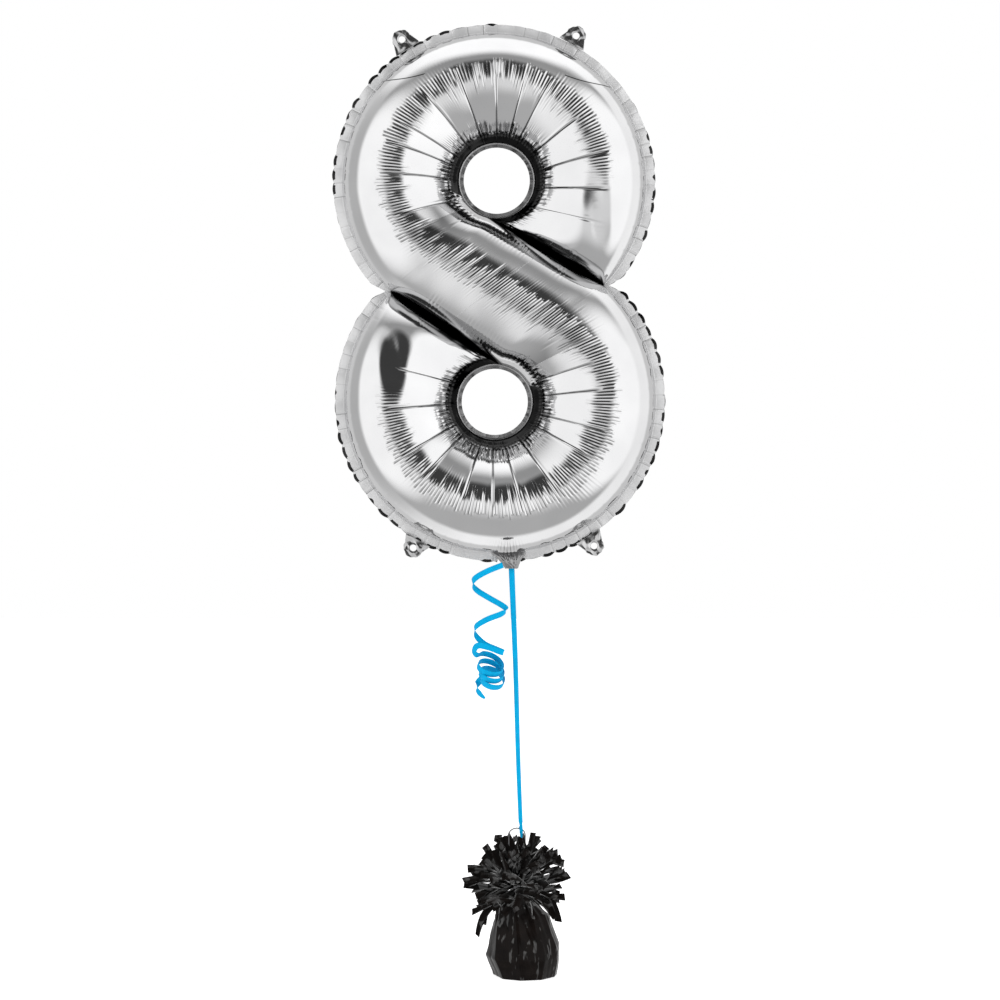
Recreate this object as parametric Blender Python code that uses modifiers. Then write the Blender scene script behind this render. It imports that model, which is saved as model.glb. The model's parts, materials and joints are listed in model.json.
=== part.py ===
"""A foil number balloon: an eight-shaped silver bag on a curling ribbon tied to a wrapped weight."""

import math

import bmesh
import bpy
import numpy as np
from mathutils import Matrix, Vector
from mathutils.geometry import delaunay_2d_cdt

# Metres. X is right, Y is back, Z is up, and the middle of the weight's base is the origin.
# The bag's outline is two discs, each a little wider than tall, that meet at two side notches.
DISC_SQUASH = 1.02
UPPER = {"x": -0.047, "z": 1.212, "seam": 0.2325, "hole_x": -0.043, "hole_z": 1.214, "slit_deg": -102.0}
LOWER = {"x": -0.038, "z": 0.879, "seam": 0.2385, "hole_x": -0.046, "hole_z": 0.876, "slit_deg": 82.0}
FLANGE = 0.0135
FLANGE_AT_NOTCH = 0.005
HOLE_R = 0.0505
HOLE_SEAM_R = 0.0575
SLIT_HALF = 0.0025
HALF_DEPTH = 0.076
FILM = 0.0001
PANEL_GAP = 0.0003
NOTCH_DEG = 1.2
OUTLINE_STEP = 0.021
INNER_ROWS = (0.06, 0.22, 0.48)
OUTER_ROWS = (0.76, 0.94)
RUNGS = 53
STROKE_RUNGS = 7
# degrees over which the rungs of a loop turn to meet those of the diagonal
TURN_BLEND = 70.0
# least height of a point inside the panel's outline
LEAST_RISE = 0.009
GRID = 0.004
GRID_X = (-0.30, 0.225)
GRID_Z = (0.62, 1.47)
GRID_SWEEPS = 420
GRID_RELAX = 1.88

NECK_X = -0.0255
NECK_HALF = 0.0235
SPIN_X = -0.0205
NECK_TOP_Z = 0.6436
NECK_TIE_Z = 0.6315
NECK_END_Z = 0.6215
NECK_WALL = 0.0003
NECK_CLEAR = 0.0015
NECK_SIDES = 24
# height, x, half-width, half-depth and pleat of the gathered neck, from the bag down to its flared end
NECK_LEVELS = (
    (NECK_TOP_Z, NECK_X, 0.0232, 0.0024, 0.0004),
    (0.6385, -0.0240, 0.0165, 0.0050, 0.0010),
    (NECK_TIE_Z + 0.0025, SPIN_X - 0.0005, 0.0076, 0.0064, 0.0007),
    (NECK_TIE_Z - 0.0025, SPIN_X, 0.0072, 0.0062, 0.0007),
    (0.6255, SPIN_X, 0.0092, 0.0078, 0.0010),
    (NECK_END_Z, SPIN_X, 0.0112, 0.0088, 0.0016),
)
VALVE_W = 0.030
VALVE_H = 0.062
VALVE_Z = 0.6500
VALVE_FILM = 0.0002

TAB_THICK = 0.0004
TAB_ROOT_HALF = 0.016
TAB_R = 0.0145
TAB_ROOT_GAP = 0.0012
EYELET_R = 0.005
# name, disc, angle in degrees, eyelet distance beyond the flange's edge
TABS = (
    ("hang_tab_top_left", UPPER, 122.4, 0.0170),
    ("hang_tab_top_right", UPPER, 61.2, 0.0140),
    ("hang_tab_bottom_left", LOWER, -119.9, 0.0140),
    ("hang_tab_bottom_right", LOWER, -57.7, 0.0170),
)

RIBBON_W = 0.008
RIBBON_THICK = 0.0004
TETHER_TOP = (SPIN_X, 0.6270)
TETHER_END = (-0.0070, 0.2080)
TETHER_FOOT = (-0.0065, -0.0034, 0.2335)
# loop and tail of the knot on the hook: half-width and radius of the loop, and the tail's place in y
LOOP_HALF = 0.0013
LOOP_R = 0.0031
TAIL_Y = -0.0031
TAIL_HALF = 0.0026
# turns of ribbon round the neck: inner and outer radius, and half-width
BAND_INNER = 0.0091
BAND_OUTER = 0.0101
BAND_HALF = 0.0022
# the curled end: start, middle of its coils, turns, drop, and coil radius at the top and its loss by the tip
CURL_START = (-0.0335, -0.0125, 0.6270)
CURL_MIDDLE = (-0.0530, -0.004)
CURL_TURNS = 5.2
CURL_DROP = 0.205
CURL_R = 0.0255
CURL_SHRINK = 0.0075
CURL_STEPS = 104
HOOK_X = -0.012
HOOK_HALF = 0.0125
HOOK_Z = 0.160
HOOK_TOP_Z = 0.2245
WIRE_R = 0.0009

POST_R = 0.005
POST_TOP_Z = 0.166
EYE_R = 0.0013
CORE_R = 0.038
CORE_TOP_Z = 0.047
TIE_R = 0.0174
TIE_CORD_R = 0.0011
TIE_Z = 0.1215
WRAP_FILM = 0.0003
WRAP_SIDES = 9
# height, radius, pleat depth and sideways shift of the foil wrap, from its mouth down to its base
WRAP_RINGS = (
    (0.1225, 0.0110, 0.0022, -0.0120),
    (0.1150, 0.0190, 0.0032, -0.0110),
    (0.1040, 0.0300, 0.0030, -0.0080),
    (0.0750, 0.0435, 0.0022, -0.0030),
    (0.0400, 0.0560, 0.0010, 0.0),
    (0.0, 0.0440, 0.0, 0.0),
)
STRIP_W = 0.0105
FRINGE_FILM = 0.00025
COLLAR_INNER_R = 0.0066
# name, collar height, strips, length, rise in degrees at the root and at the tip
TIERS = (
    ("fringe_tier_1", 0.1275, 12, 0.052, -14.0, -62.0),
    ("fringe_tier_2", 0.1335, 13, 0.058, 0.0, -24.0),
    ("fringe_tier_3", 0.1395, 13, 0.060, 16.0, 6.0),
    ("fringe_tier_4", 0.1455, 12, 0.058, 32.0, 34.0),
    ("fringe_tier_5", 0.1515, 10, 0.056, 47.0, 58.0),
)

COLOURS = {
    "silver_foil": ((0.82, 0.82, 0.83), 0.1, 1.0),
    "tab_foil": ((0.74, 0.74, 0.75), 0.2, 1.0),
    "valve_film": ((0.86, 0.87, 0.88), 0.3, 0.0),
    "blue_ribbon": ((0.0, 0.42, 0.86), 0.4, 0.0),
    "black_foil": ((0.02, 0.017, 0.016), 0.22, 0.3),
    "hook_wire": ((0.09, 0.09, 0.09), 0.35, 0.6),
    "core_iron": ((0.2, 0.2, 0.21), 0.6, 0.7),
}


def clear_scene():
    for obj in list(bpy.data.objects):
        bpy.data.objects.remove(obj, do_unlink=True)


def new_collection(name):
    found = bpy.data.collections.new(name)
    bpy.context.scene.collection.children.link(found)
    return found


def new_material(name):
    colour, roughness, metallic = COLOURS[name]
    mat = bpy.data.materials.new(name)
    mat.use_nodes = True
    shader = mat.node_tree.nodes["Principled BSDF"]
    shader.inputs["Base Color"].default_value = (*colour, 1.0)
    shader.inputs["Roughness"].default_value = roughness
    shader.inputs["Metallic"].default_value = metallic
    return mat


def place(obj, material, origin=(0.0, 0.0, 0.0)):
    """Puts the object in the balloon's collection, with its origin at the point given."""
    for holder in list(obj.users_collection):
        holder.objects.unlink(obj)
    PARTS.objects.link(obj)
    obj.data.materials.clear()
    obj.data.materials.append(MATERIALS[material])
    obj.data.transform(Matrix.Translation(-Vector(origin)))
    obj.location = origin
    return obj


def mesh_object(name, points, faces, material, origin=(0.0, 0.0, 0.0)):
    mesh = bpy.data.meshes.new(name)
    mesh.from_pydata([tuple(p) for p in points], [], faces)
    mesh.validate()
    shape = bmesh.new()
    shape.from_mesh(mesh)
    bmesh.ops.remove_doubles(shape, verts=shape.verts, dist=1e-6)
    bmesh.ops.recalc_face_normals(shape, faces=shape.faces)
    shape.to_mesh(mesh)
    shape.free()
    return place(bpy.data.objects.new(name, mesh), material, origin)


def solidify(obj, thickness, offset):
    mod = obj.modifiers.new("wall", "SOLIDIFY")
    mod.thickness = thickness
    mod.offset = offset
    mod.use_even_offset = True
    return obj


def smooth(obj, degrees=35.0):
    with bpy.context.temp_override(object=obj, active_object=obj, selected_objects=[obj]):
        bpy.ops.object.shade_smooth()
    obj.data.set_sharp_from_angle(angle=math.radians(degrees))
    return obj


# ---- the bag's flat pattern ----

def disc_point(disc, degrees, radius):
    angle = math.radians(degrees)
    return np.array([disc["x"] + radius * math.cos(angle),
                     disc["z"] + radius * math.sin(angle) / DISC_SQUASH])


def hole_point(disc, degrees, radius):
    angle = math.radians(degrees)
    return np.array([disc["hole_x"] + radius * math.cos(angle), disc["hole_z"] + radius * math.sin(angle)])


def disc_angle(disc, point):
    return math.degrees(math.atan2((point[1] - disc["z"]) * DISC_SQUASH, point[0] - disc["x"]))


def seam_crossings():
    """Where the two discs' seams cross: the left notch and the right notch."""
    up = np.array([UPPER["x"], UPPER["z"] * DISC_SQUASH])
    low = np.array([LOWER["x"], LOWER["z"] * DISC_SQUASH])
    gap = low - up
    dist = np.linalg.norm(gap)
    along = (dist**2 + UPPER["seam"]**2 - LOWER["seam"]**2) / (2 * dist)
    side = math.sqrt(UPPER["seam"]**2 - along**2)
    middle = up + gap / dist * along
    across = np.array([-gap[1], gap[0]]) / dist * side
    ends = [middle - across, middle + across]
    ends.sort(key=lambda p: p[0])
    return [np.array([p[0], p[1] / DISC_SQUASH]) for p in ends]


def arc_angles(start, end, radius):
    count = max(4, round(math.radians(abs(end - start)) * radius / OUTLINE_STEP))
    return np.linspace(start, end, count + 1)


def seam_angles(start, end):
    """The rungs' angles, with the first and the last held just clear of the notches."""
    angles = np.linspace(start, end, RUNGS)
    return [start + NOTCH_DEG, *angles[1:-1], end - NOTCH_DEG]


def slit_line(disc, notch):
    """The weld from a hole to a notch: its two ends and the unit normal on its left, going outwards."""
    start = hole_point(disc, disc["slit_deg"], HOLE_SEAM_R)
    along = (notch - start) / np.linalg.norm(notch - start)
    return start, notch, np.array([-along[1], along[0]])


def slit_side(disc, notch, side):
    start, end, normal = slit_line(disc, notch)
    steps = max(4, round(np.linalg.norm(end - start) / OUTLINE_STEP))
    return [start + (end - start) * t + normal * side * SLIT_HALF
            for t in np.linspace(0.0, 1.0, steps + 1)[1:-1]]


def tube_loop(notch_left, notch_right):
    """The seam round the one long S-shaped tube, as a closed run of points."""
    loop = []
    up_start = disc_angle(UPPER, notch_right)
    up_end = disc_angle(UPPER, notch_left) % 360.0
    for angle in seam_angles(up_start, up_end):
        loop.append(disc_point(UPPER, angle, UPPER["seam"]))
    loop += slit_side(LOWER, notch_left, -1.0)[::-1]
    turn = LOWER["slit_deg"]
    gap = math.degrees(SLIT_HALF / HOLE_SEAM_R) * 1.3
    for angle in arc_angles(turn - gap, turn - 360.0 + gap, HOLE_SEAM_R):
        loop.append(hole_point(LOWER, angle, HOLE_SEAM_R))
    loop += slit_side(LOWER, notch_left, 1.0)
    low_start = disc_angle(LOWER, notch_left)
    low_end = disc_angle(LOWER, notch_right) + 360.0
    for angle in seam_angles(low_start, low_end):
        loop.append(disc_point(LOWER, angle, LOWER["seam"]))
    loop += slit_side(UPPER, notch_right, -1.0)[::-1]
    turn = UPPER["slit_deg"] + 360.0
    for angle in arc_angles(turn - gap, turn - 360.0 + gap, HOLE_SEAM_R):
        loop.append(hole_point(UPPER, angle, HOLE_SEAM_R))
    loop += slit_side(UPPER, notch_right, 1.0)
    return loop


def flange_width(angle, ends):
    """The flange narrows towards each notch."""
    away = min(abs(angle - end) for end in ends) / 9.0
    return FLANGE_AT_NOTCH + (FLANGE - FLANGE_AT_NOTCH) * min(1.0, away)


def neck_cut(point):
    """True where the flange is left off to make room for the neck."""
    return abs(point[0] - NECK_X) < NECK_HALF + NECK_CLEAR and point[1] < LOWER["z"] - 0.2


def outer_loop(notch_left, notch_right):
    """The flange's free edge, with a gap at the bottom where the neck joins."""
    loop = []
    runs = (
        (UPPER, disc_angle(UPPER, notch_right), disc_angle(UPPER, notch_left) % 360.0, notch_left),
        (LOWER, disc_angle(LOWER, notch_left), disc_angle(LOWER, notch_right) + 360.0, notch_right),
    )
    for disc, start, end, notch in runs:
        if disc is LOWER:
            start, end = start % 360.0, end % 360.0 + 360.0
        at_neck = False
        for angle in arc_angles(start + NOTCH_DEG, end - NOTCH_DEG, disc["seam"] * 1.8):
            point = disc_point(disc, angle, disc["seam"] + flange_width(angle, (start, end)))
            if not neck_cut(point):
                loop.append(point)
                at_neck = False
            elif not at_neck:
                at_neck = True
                for side in (-1.0, 1.0):
                    x = NECK_X + side * (NECK_HALF + NECK_CLEAR)
                    drop = math.sqrt(1.0 - ((x - disc["x"]) / (disc["seam"] + FLANGE))**2)
                    low = disc["z"] - (disc["seam"] + FLANGE) / DISC_SQUASH * drop
                    edge = disc["z"] - (disc["seam"] + 0.0008) / DISC_SQUASH
                    corners = [np.array([x, low]), np.array([x, edge])]
                    loop += corners if side < 0 else corners[::-1]
        out = notch - np.array([(UPPER["x"] + LOWER["x"]) / 2, notch[1]])
        loop.append(notch + out / np.linalg.norm(out) * FLANGE_AT_NOTCH)
    return loop


def loop_rungs(disc, start, end, lead, trail, count):
    """Pairs of points, one on the hole's seam and one on the disc's, in step round the loop."""
    pairs = []
    for t in np.linspace(0.0, 1.0, count):
        angle = start + (end - start) * t
        first = max(0.0, 1.0 - abs(angle - start) / TURN_BLEND)**3
        last = max(0.0, 1.0 - abs(end - angle) / TURN_BLEND)**3
        inner = angle + lead * first + trail * last
        pairs.append((hole_point(disc, inner, HOLE_SEAM_R), disc_point(disc, angle, disc["seam"])))
    return pairs


def tube_rungs(notch_left, notch_right):
    """Rungs across the S-shaped tube, in order from its upper end to its lower end."""
    up_start = disc_angle(UPPER, notch_right)
    up_end = disc_angle(UPPER, notch_left) % 360.0
    slit = UPPER["slit_deg"]
    upper = loop_rungs(UPPER, up_start, up_end, slit - up_start, slit + 360.0 - up_end, RUNGS)
    low_start = disc_angle(LOWER, notch_right)
    low_end = disc_angle(LOWER, notch_left) % 360.0 - 360.0
    slit = LOWER["slit_deg"]
    lower = loop_rungs(LOWER, low_start, low_end, slit - low_start, slit - 360.0 - low_end, RUNGS)
    top_start, top_end, _ = slit_line(UPPER, notch_right)
    low_from, low_to, _ = slit_line(LOWER, notch_left)
    middle = []
    for t in np.linspace(0.0, 1.0, STROKE_RUNGS + 2)[1:-1]:
        middle.append((top_start + (top_end - top_start) * t, low_to + (low_from - low_to) * t))
    return upper[1:] + middle + lower[:-1]


# ---- how far the film stands out under pressure ----

def slit_distance(x, z, disc, notch):
    start, end, _ = slit_line(disc, notch)
    span = end - start
    t = np.clip(((x - start[0]) * span[0] + (z - start[1]) * span[1]) / (span @ span), 0.0, 1.0)
    return np.hypot(x - start[0] - span[0] * t, z - start[1] - span[1] * t)


def pressure_field(notch_left, notch_right):
    """Height of a film blown up over the flat pattern: the root of a pressed membrane's sag."""
    xs = np.arange(*GRID_X, GRID)
    zs = np.arange(*GRID_Z, GRID)
    x, z = np.meshgrid(xs, zs, indexing="ij")
    inside = np.zeros(x.shape, bool)
    for disc in (UPPER, LOWER):
        inside |= np.hypot(x - disc["x"], (z - disc["z"]) * DISC_SQUASH) < disc["seam"]
    for disc, notch in ((UPPER, notch_right), (LOWER, notch_left)):
        inside &= np.hypot(x - disc["hole_x"], z - disc["hole_z"]) > HOLE_SEAM_R
        inside &= slit_distance(x, z, disc, notch) > SLIT_HALF
    sag = np.zeros(x.shape)
    parity = (np.add.outer(np.arange(len(xs)), np.arange(len(zs))) % 2).astype(bool)
    for _ in range(GRID_SWEEPS):
        for colour in (parity, ~parity):
            around = np.roll(sag, 1, 0) + np.roll(sag, -1, 0)
            around += np.roll(sag, 1, 1) + np.roll(sag, -1, 1)
            step = (around + GRID**2) / 4.0 - sag
            sag = np.where(inside & colour, sag + GRID_RELAX * step, sag)
    return xs, zs, sag


def field_height(field, point):
    xs, zs, sag = field
    i = (point[0] - xs[0]) / GRID
    k = (point[1] - zs[0]) / GRID
    i0, k0 = int(i), int(k)
    fi, fk = i - i0, k - k0
    low = sag[i0, k0] * (1 - fi) + sag[i0 + 1, k0] * fi
    high = sag[i0, k0 + 1] * (1 - fi) + sag[i0 + 1, k0 + 1] * fi
    value = low * (1 - fk) + high * fk
    return HALF_DEPTH * math.sqrt(max(value, 0.0) / sag.max())


def closed_edges(first, count):
    return [(first + k, first + (k + 1) % count) for k in range(count)]


def flat_pattern():
    """The panel as points in the plane and triangles, with every seam a run of edges."""
    notch_left, notch_right = seam_crossings()
    field = pressure_field(notch_left, notch_right)
    points, edges, heights = [], [], []
    loops = [outer_loop(notch_left, notch_right), tube_loop(notch_left, notch_right)]
    for disc in (UPPER, LOWER):
        loops.append([hole_point(disc, a, HOLE_R) for a in arc_angles(0.0, 360.0, HOLE_SEAM_R)[:-1]])
    for loop in loops:
        edges += closed_edges(len(points), len(loop))
        points += loop
        heights += [0.0] * len(loop)
    for order, (inner, outer) in enumerate(tube_rungs(notch_left, notch_right)):
        for row in OUTER_ROWS if order % 2 else INNER_ROWS + OUTER_ROWS:
            point = inner + (outer - inner) * row
            height = field_height(field, point)
            if height > LEAST_RISE:
                points.append(point)
                heights.append(height)
    flat = [Vector((p[0], p[1])) for p in points]
    out_points, _, faces, source, _, _ = delaunay_2d_cdt(flat, edges, [], 1, 1e-6)
    faces = [f for f in faces if not in_hole(f, out_points)]
    raised = [max([heights[k] for k in src] or [0.0]) for src in source]
    return out_points, faces, raised


def in_hole(face, points):
    middle = sum((points[k] for k in face), Vector((0.0, 0.0))) / len(face)
    for disc in (UPPER, LOWER):
        if math.hypot(middle.x - disc["hole_x"], middle.y - disc["hole_z"]) < HOLE_R * 0.995:
            return True
    return False


def foil_panel(name, side, pattern):
    """One sheet of the bag. Its inner face is half the panel gap from the middle plane at the seams."""
    flat, faces, raised = pattern
    points = [(p.x, side * (PANEL_GAP / 2 + h), p.y) for p, h in zip(flat, raised)]
    obj = mesh_object(name, points, faces, "silver_foil", (NECK_X, 0.0, NECK_TOP_Z))
    outward = sum(face.normal.y * face.area for face in obj.data.polygons)
    if outward * side < 0:
        obj.data.flip_normals()
    return smooth(solidify(obj, FILM, 1.0), 60.0)


# ---- flat plates ----

def plate(name, outlines, thickness, material, origin=(0.0, 0.0, 0.0), at_y=0.0):
    """A flat plate standing in the XZ plane, cut from closed outlines given as (x, z) points."""
    curve = bpy.data.curves.new(name, "CURVE")
    curve.dimensions = "2D"
    curve.fill_mode = "BOTH"
    curve.extrude = thickness / 2
    for outline in outlines:
        spline = curve.splines.new("POLY")
        spline.points.add(len(outline) - 1)
        for point, place_at in zip(spline.points, outline):
            point.co = (place_at[0], place_at[1], 0.0, 1.0)
        spline.use_cyclic_u = True
    helper = bpy.data.objects.new(name, curve)
    PARTS.objects.link(helper)
    bpy.context.view_layer.update()
    graph = bpy.context.evaluated_depsgraph_get()
    mesh = bpy.data.meshes.new_from_object(helper.evaluated_get(graph))
    bpy.data.objects.remove(helper, do_unlink=True)
    mesh.transform(Matrix.Translation((0.0, at_y, 0.0)) @ Matrix.Rotation(math.pi / 2, 4, "X"))
    shape = bmesh.new()
    shape.from_mesh(mesh)
    bmesh.ops.remove_doubles(shape, verts=shape.verts, dist=1e-6)
    bmesh.ops.recalc_face_normals(shape, faces=shape.faces)
    shape.to_mesh(mesh)
    shape.free()
    mesh.name = name
    return place(bpy.data.objects.new(name, mesh), material, origin)


def hang_tab(name, disc, degrees, eyelet):
    """A rounded ear with a punched eyelet, in line with the flange and hinged along its root."""
    edge = disc_point(disc, degrees, disc["seam"] + FLANGE)
    hub = disc_point(disc, degrees, 0.0)
    out = (edge - hub) / np.linalg.norm(edge - hub)
    side = np.array([out[1], -out[0]])
    outline = [edge + out * TAB_ROOT_GAP + side * TAB_ROOT_HALF]
    centre = edge + out * eyelet
    for angle in np.linspace(0.0, math.pi, 13):
        outline.append(centre + TAB_R * (side * math.cos(angle) + out * math.sin(angle)))
    outline.append(edge + out * TAB_ROOT_GAP - side * TAB_ROOT_HALF)
    hole = [centre + EYELET_R * (side * math.cos(a) + out * math.sin(a))
            for a in np.linspace(0.0, 2 * math.pi, 17)[:-1]]
    return plate(name, [outline, hole], TAB_THICK, "tab_foil", (edge[0], 0.0, edge[1]))


def valve_films():
    half = VALVE_W / 2
    outline = [(NECK_X - half, VALVE_Z), (NECK_X + half, VALVE_Z),
               (NECK_X + half, VALVE_Z + VALVE_H * 0.86), (NECK_X + half * 0.7, VALVE_Z + VALVE_H),
               (NECK_X - half * 0.7, VALVE_Z + VALVE_H), (NECK_X - half, VALVE_Z + VALVE_H * 0.86)]
    for name, side in (("valve_front_film", -1.0), ("valve_back_film", 1.0)):
        plate(name, [outline], VALVE_FILM, "valve_film", (NECK_X, side * 0.0004, VALVE_Z), side * 0.0004)


# ---- gathered neck, ribbons and knots ----

def ring_skin(rings, closed_end=False):
    """Faces of a skin over rings with the same number of points, and its points in one run."""
    count = len(rings[0])
    points = [p for ring in rings for p in ring]
    faces = []
    for r in range(len(rings) - 1):
        for k in range(count):
            n = (k + 1) % count
            faces.append((r * count + k, r * count + n, (r + 1) * count + n, (r + 1) * count + k))
    if closed_end:
        first = (len(rings) - 1) * count
        faces.append(tuple(range(first, first + count)))
    return points, faces


def inflation_neck():
    """The filling tail: flat where it leaves the bag, drawn in at the tie and flared below it."""
    rings = []
    for z, x, half_x, half_y, pleat in NECK_LEVELS:
        ring = []
        for k in range(NECK_SIDES):
            angle = 2 * math.pi * k / NECK_SIDES
            wave = pleat * (1.0 if k % 2 else -1.0) * 0.5
            ring.append((x + (half_x + wave) * math.cos(angle), (half_y + wave) * math.sin(angle), z))
        rings.append(ring)
    points, faces = ring_skin(rings)
    obj = mesh_object("inflation_neck", points, faces, "tab_foil", (SPIN_X, 0.0, NECK_TIE_Z))
    return smooth(solidify(obj, NECK_WALL, -1.0), 60.0)


def turned(name, profile, steps, material, centre, origin):
    """A closed profile of (radius, height) points turned about a vertical axis."""
    mesh = bpy.data.meshes.new(name)
    points = [(r, 0.0, z) for r, z in profile]
    mesh.from_pydata(points, closed_edges(0, len(points)), [])
    obj = bpy.data.objects.new(name, mesh)
    PARTS.objects.link(obj)
    mod = obj.modifiers.new("turn", "SCREW")
    mod.steps = steps
    mod.render_steps = steps
    mod.use_merge_vertices = True
    mod.merge_threshold = 0.00001
    mod.use_normal_calculate = True
    bpy.context.view_layer.update()
    graph = bpy.context.evaluated_depsgraph_get()
    made = bpy.data.meshes.new_from_object(obj.evaluated_get(graph))
    bpy.data.objects.remove(obj, do_unlink=True)
    shape = bmesh.new()
    shape.from_mesh(made)
    bmesh.ops.remove_doubles(shape, verts=shape.verts, dist=1e-6)
    bmesh.ops.recalc_face_normals(shape, faces=shape.faces)
    shape.to_mesh(made)
    shape.free()
    made.transform(Matrix.Translation(centre))
    return place(bpy.data.objects.new(name, made), material, origin)


def boolean(obj, other, operation):
    mod = obj.modifiers.new(operation.lower(), "BOOLEAN")
    mod.operation = operation
    mod.solver = "EXACT"
    mod.object = other
    other.hide_render = True
    other.display_type = "WIRE"
    return obj


def helper_cylinder(name, radius, depth, location, rotation):
    bpy.ops.mesh.primitive_cylinder_add(vertices=16, radius=radius, depth=depth,
                                        location=location, rotation=rotation)
    obj = bpy.context.active_object
    obj.name = name
    for holder in list(obj.users_collection):
        holder.objects.unlink(obj)
    CUTTERS.objects.link(obj)
    return obj


def neck_knot():
    """Two turns of ribbon drawn tight round the neck, with the knot's lump in front."""
    profile = [(BAND_OUTER, BAND_HALF), (BAND_INNER, BAND_HALF),
               (BAND_INNER, -BAND_HALF), (BAND_OUTER, -BAND_HALF)]
    obj = turned("ribbon_neck_knot", profile, 24, "blue_ribbon",
                 (SPIN_X, 0.0, NECK_TIE_Z), (SPIN_X, 0.0, NECK_TIE_Z))
    lump = helper_cylinder("knot_lump", 0.0021, 0.0085,
                           (SPIN_X - 0.002, -BAND_OUTER - 0.0004, NECK_TIE_Z), (0.0, math.pi / 2, 0.3))
    return boolean(obj, lump, "UNION")


def ribbon_strip(name, path, widths, thickness, origin):
    """A flat strip along a path of points, each with the direction that its width lies in."""
    points, faces = [], []
    for k, (point, across) in enumerate(path):
        half = widths[k] / 2
        points += [point - across * half, point + across * half]
        if k:
            faces.append((2 * k - 2, 2 * k - 1, 2 * k + 1, 2 * k))
    obj = mesh_object(name, points, faces, "blue_ribbon", origin)
    return solidify(obj, thickness, 0.0)


def ribbon_tether():
    """The taut part, from inside the neck's flare down to the hook."""
    top = Vector((TETHER_TOP[0], 0.0, TETHER_TOP[1]))
    end = Vector(TETHER_FOOT)
    path, widths = [], []
    for t in np.linspace(0.0, 1.0, 9):
        path.append((top.lerp(end, t), Vector((1.0, 0.0, 0.0))))
        widths.append(RIBBON_W - 0.0018 * t)
    return smooth(ribbon_strip("ribbon_tether", path, widths, RIBBON_THICK,
                               (TETHER_END[0], 0.0, HOOK_TOP_Z)))


def hook_knot():
    """The ribbon's loop round the hook's top, closed by a flat knot, with its short end below."""
    points, faces = [], []
    count = 16
    for k in range(count):
        angle = 2 * math.pi * k / count
        y = LOOP_R * math.cos(angle)
        z = HOOK_TOP_Z - WIRE_R + LOOP_R * math.sin(angle) * 1.2
        points += [(TETHER_END[0] - LOOP_HALF, y, z), (TETHER_END[0] + LOOP_HALF, y, z)]
        n = (k + 1) % count
        faces.append((2 * k, 2 * k + 1, 2 * n + 1, 2 * n))
    obj = mesh_object("ribbon_hook_knot", points, faces, "blue_ribbon", (TETHER_END[0], 0.0, HOOK_TOP_Z))
    solidify(obj, RIBBON_THICK, 1.0)
    outline = [(TETHER_END[0] - TAIL_HALF, HOOK_TOP_Z), (TETHER_END[0] + TAIL_HALF, HOOK_TOP_Z),
               (TETHER_END[0] + TAIL_HALF * 0.85, TETHER_END[1]),
               (TETHER_END[0] - TAIL_HALF * 0.7, TETHER_END[1])]
    tail = plate("knot_tail", [outline], RIBBON_THICK * 1.5, "blue_ribbon", at_y=TAIL_Y)
    PARTS.objects.unlink(tail)
    CUTTERS.objects.link(tail)
    return boolean(obj, tail, "UNION")


def ribbon_curl():
    """The long free end, curled into an open helix that tightens towards its tip."""
    start = Vector(CURL_START)
    path, widths = [], []
    for k in range(CURL_STEPS + 1):
        t = k / CURL_STEPS
        angle = 2 * math.pi * CURL_TURNS * t
        ease = min(1.0, t * 6.0)
        radius = (CURL_R - CURL_SHRINK * t) * ease
        drop = CURL_DROP * (1.0 - (1.0 - t)**1.9)
        centre = start.lerp(Vector((*CURL_MIDDLE, start.z)), ease)
        point = centre + Vector((-radius * math.sin(angle), -radius * math.cos(angle) * 0.8, -drop))
        path.append((point, Vector((0.0, 0.0, 1.0))))
        widths.append(RIBBON_W * (0.75 if k == CURL_STEPS else 1.0))
    return smooth(ribbon_strip("ribbon_curl", path, widths, RIBBON_THICK, tuple(start)))


# ---- the weight ----

def weight_core():
    """A cast slug with a stem, whose eye holds the hook."""
    profile = [(0.0, CORE_TOP_Z + 0.012), (0.014, CORE_TOP_Z + 0.008), (CORE_R - 0.004, CORE_TOP_Z),
               (CORE_R, CORE_TOP_Z - 0.005), (CORE_R, 0.0035), (CORE_R - 0.003, 0.0008), (0.0, 0.0008)]
    obj = turned("weight_core", profile, 32, "core_iron", (0.0, 0.0, 0.0), (0.0, 0.0, 0.0))
    stem = helper_cylinder("stem_body", POST_R, POST_TOP_Z - 0.03,
                           (HOOK_X, 0.0, (POST_TOP_Z + 0.03) / 2), (0.0, 0.0, 0.0))
    eye = helper_cylinder("eye_cutter", EYE_R, 0.03, (HOOK_X, 0.0, HOOK_Z), (0.0, math.pi / 2, 0.0))
    boolean(obj, stem, "UNION")
    return smooth(boolean(obj, eye, "DIFFERENCE"))


def weight_hook():
    """A closed wire loop that hangs in the stem's eye and swings front to back."""
    curve = bpy.data.curves.new("weight_hook", "CURVE")
    curve.dimensions = "3D"
    curve.bevel_depth = WIRE_R
    curve.bevel_resolution = 2
    path = [(-HOOK_HALF + 0.004, 0.0), (HOOK_HALF - 0.004, 0.0), (HOOK_HALF, 0.004)]
    rise = HOOK_TOP_Z - HOOK_Z - HOOK_HALF * 0.8
    for angle in np.linspace(0.0, math.pi, 11):
        path.append((HOOK_HALF * math.cos(angle), rise + HOOK_HALF * 0.8 * math.sin(angle)))
    path.append((-HOOK_HALF, 0.004))
    spline = curve.splines.new("POLY")
    spline.points.add(len(path) - 1)
    for point, (x, z) in zip(spline.points, path):
        point.co = (HOOK_X + x, 0.0, HOOK_Z + z, 1.0)
    spline.use_cyclic_u = True
    return place(bpy.data.objects.new("weight_hook", curve), "hook_wire", (HOOK_X, 0.0, HOOK_Z))


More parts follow.
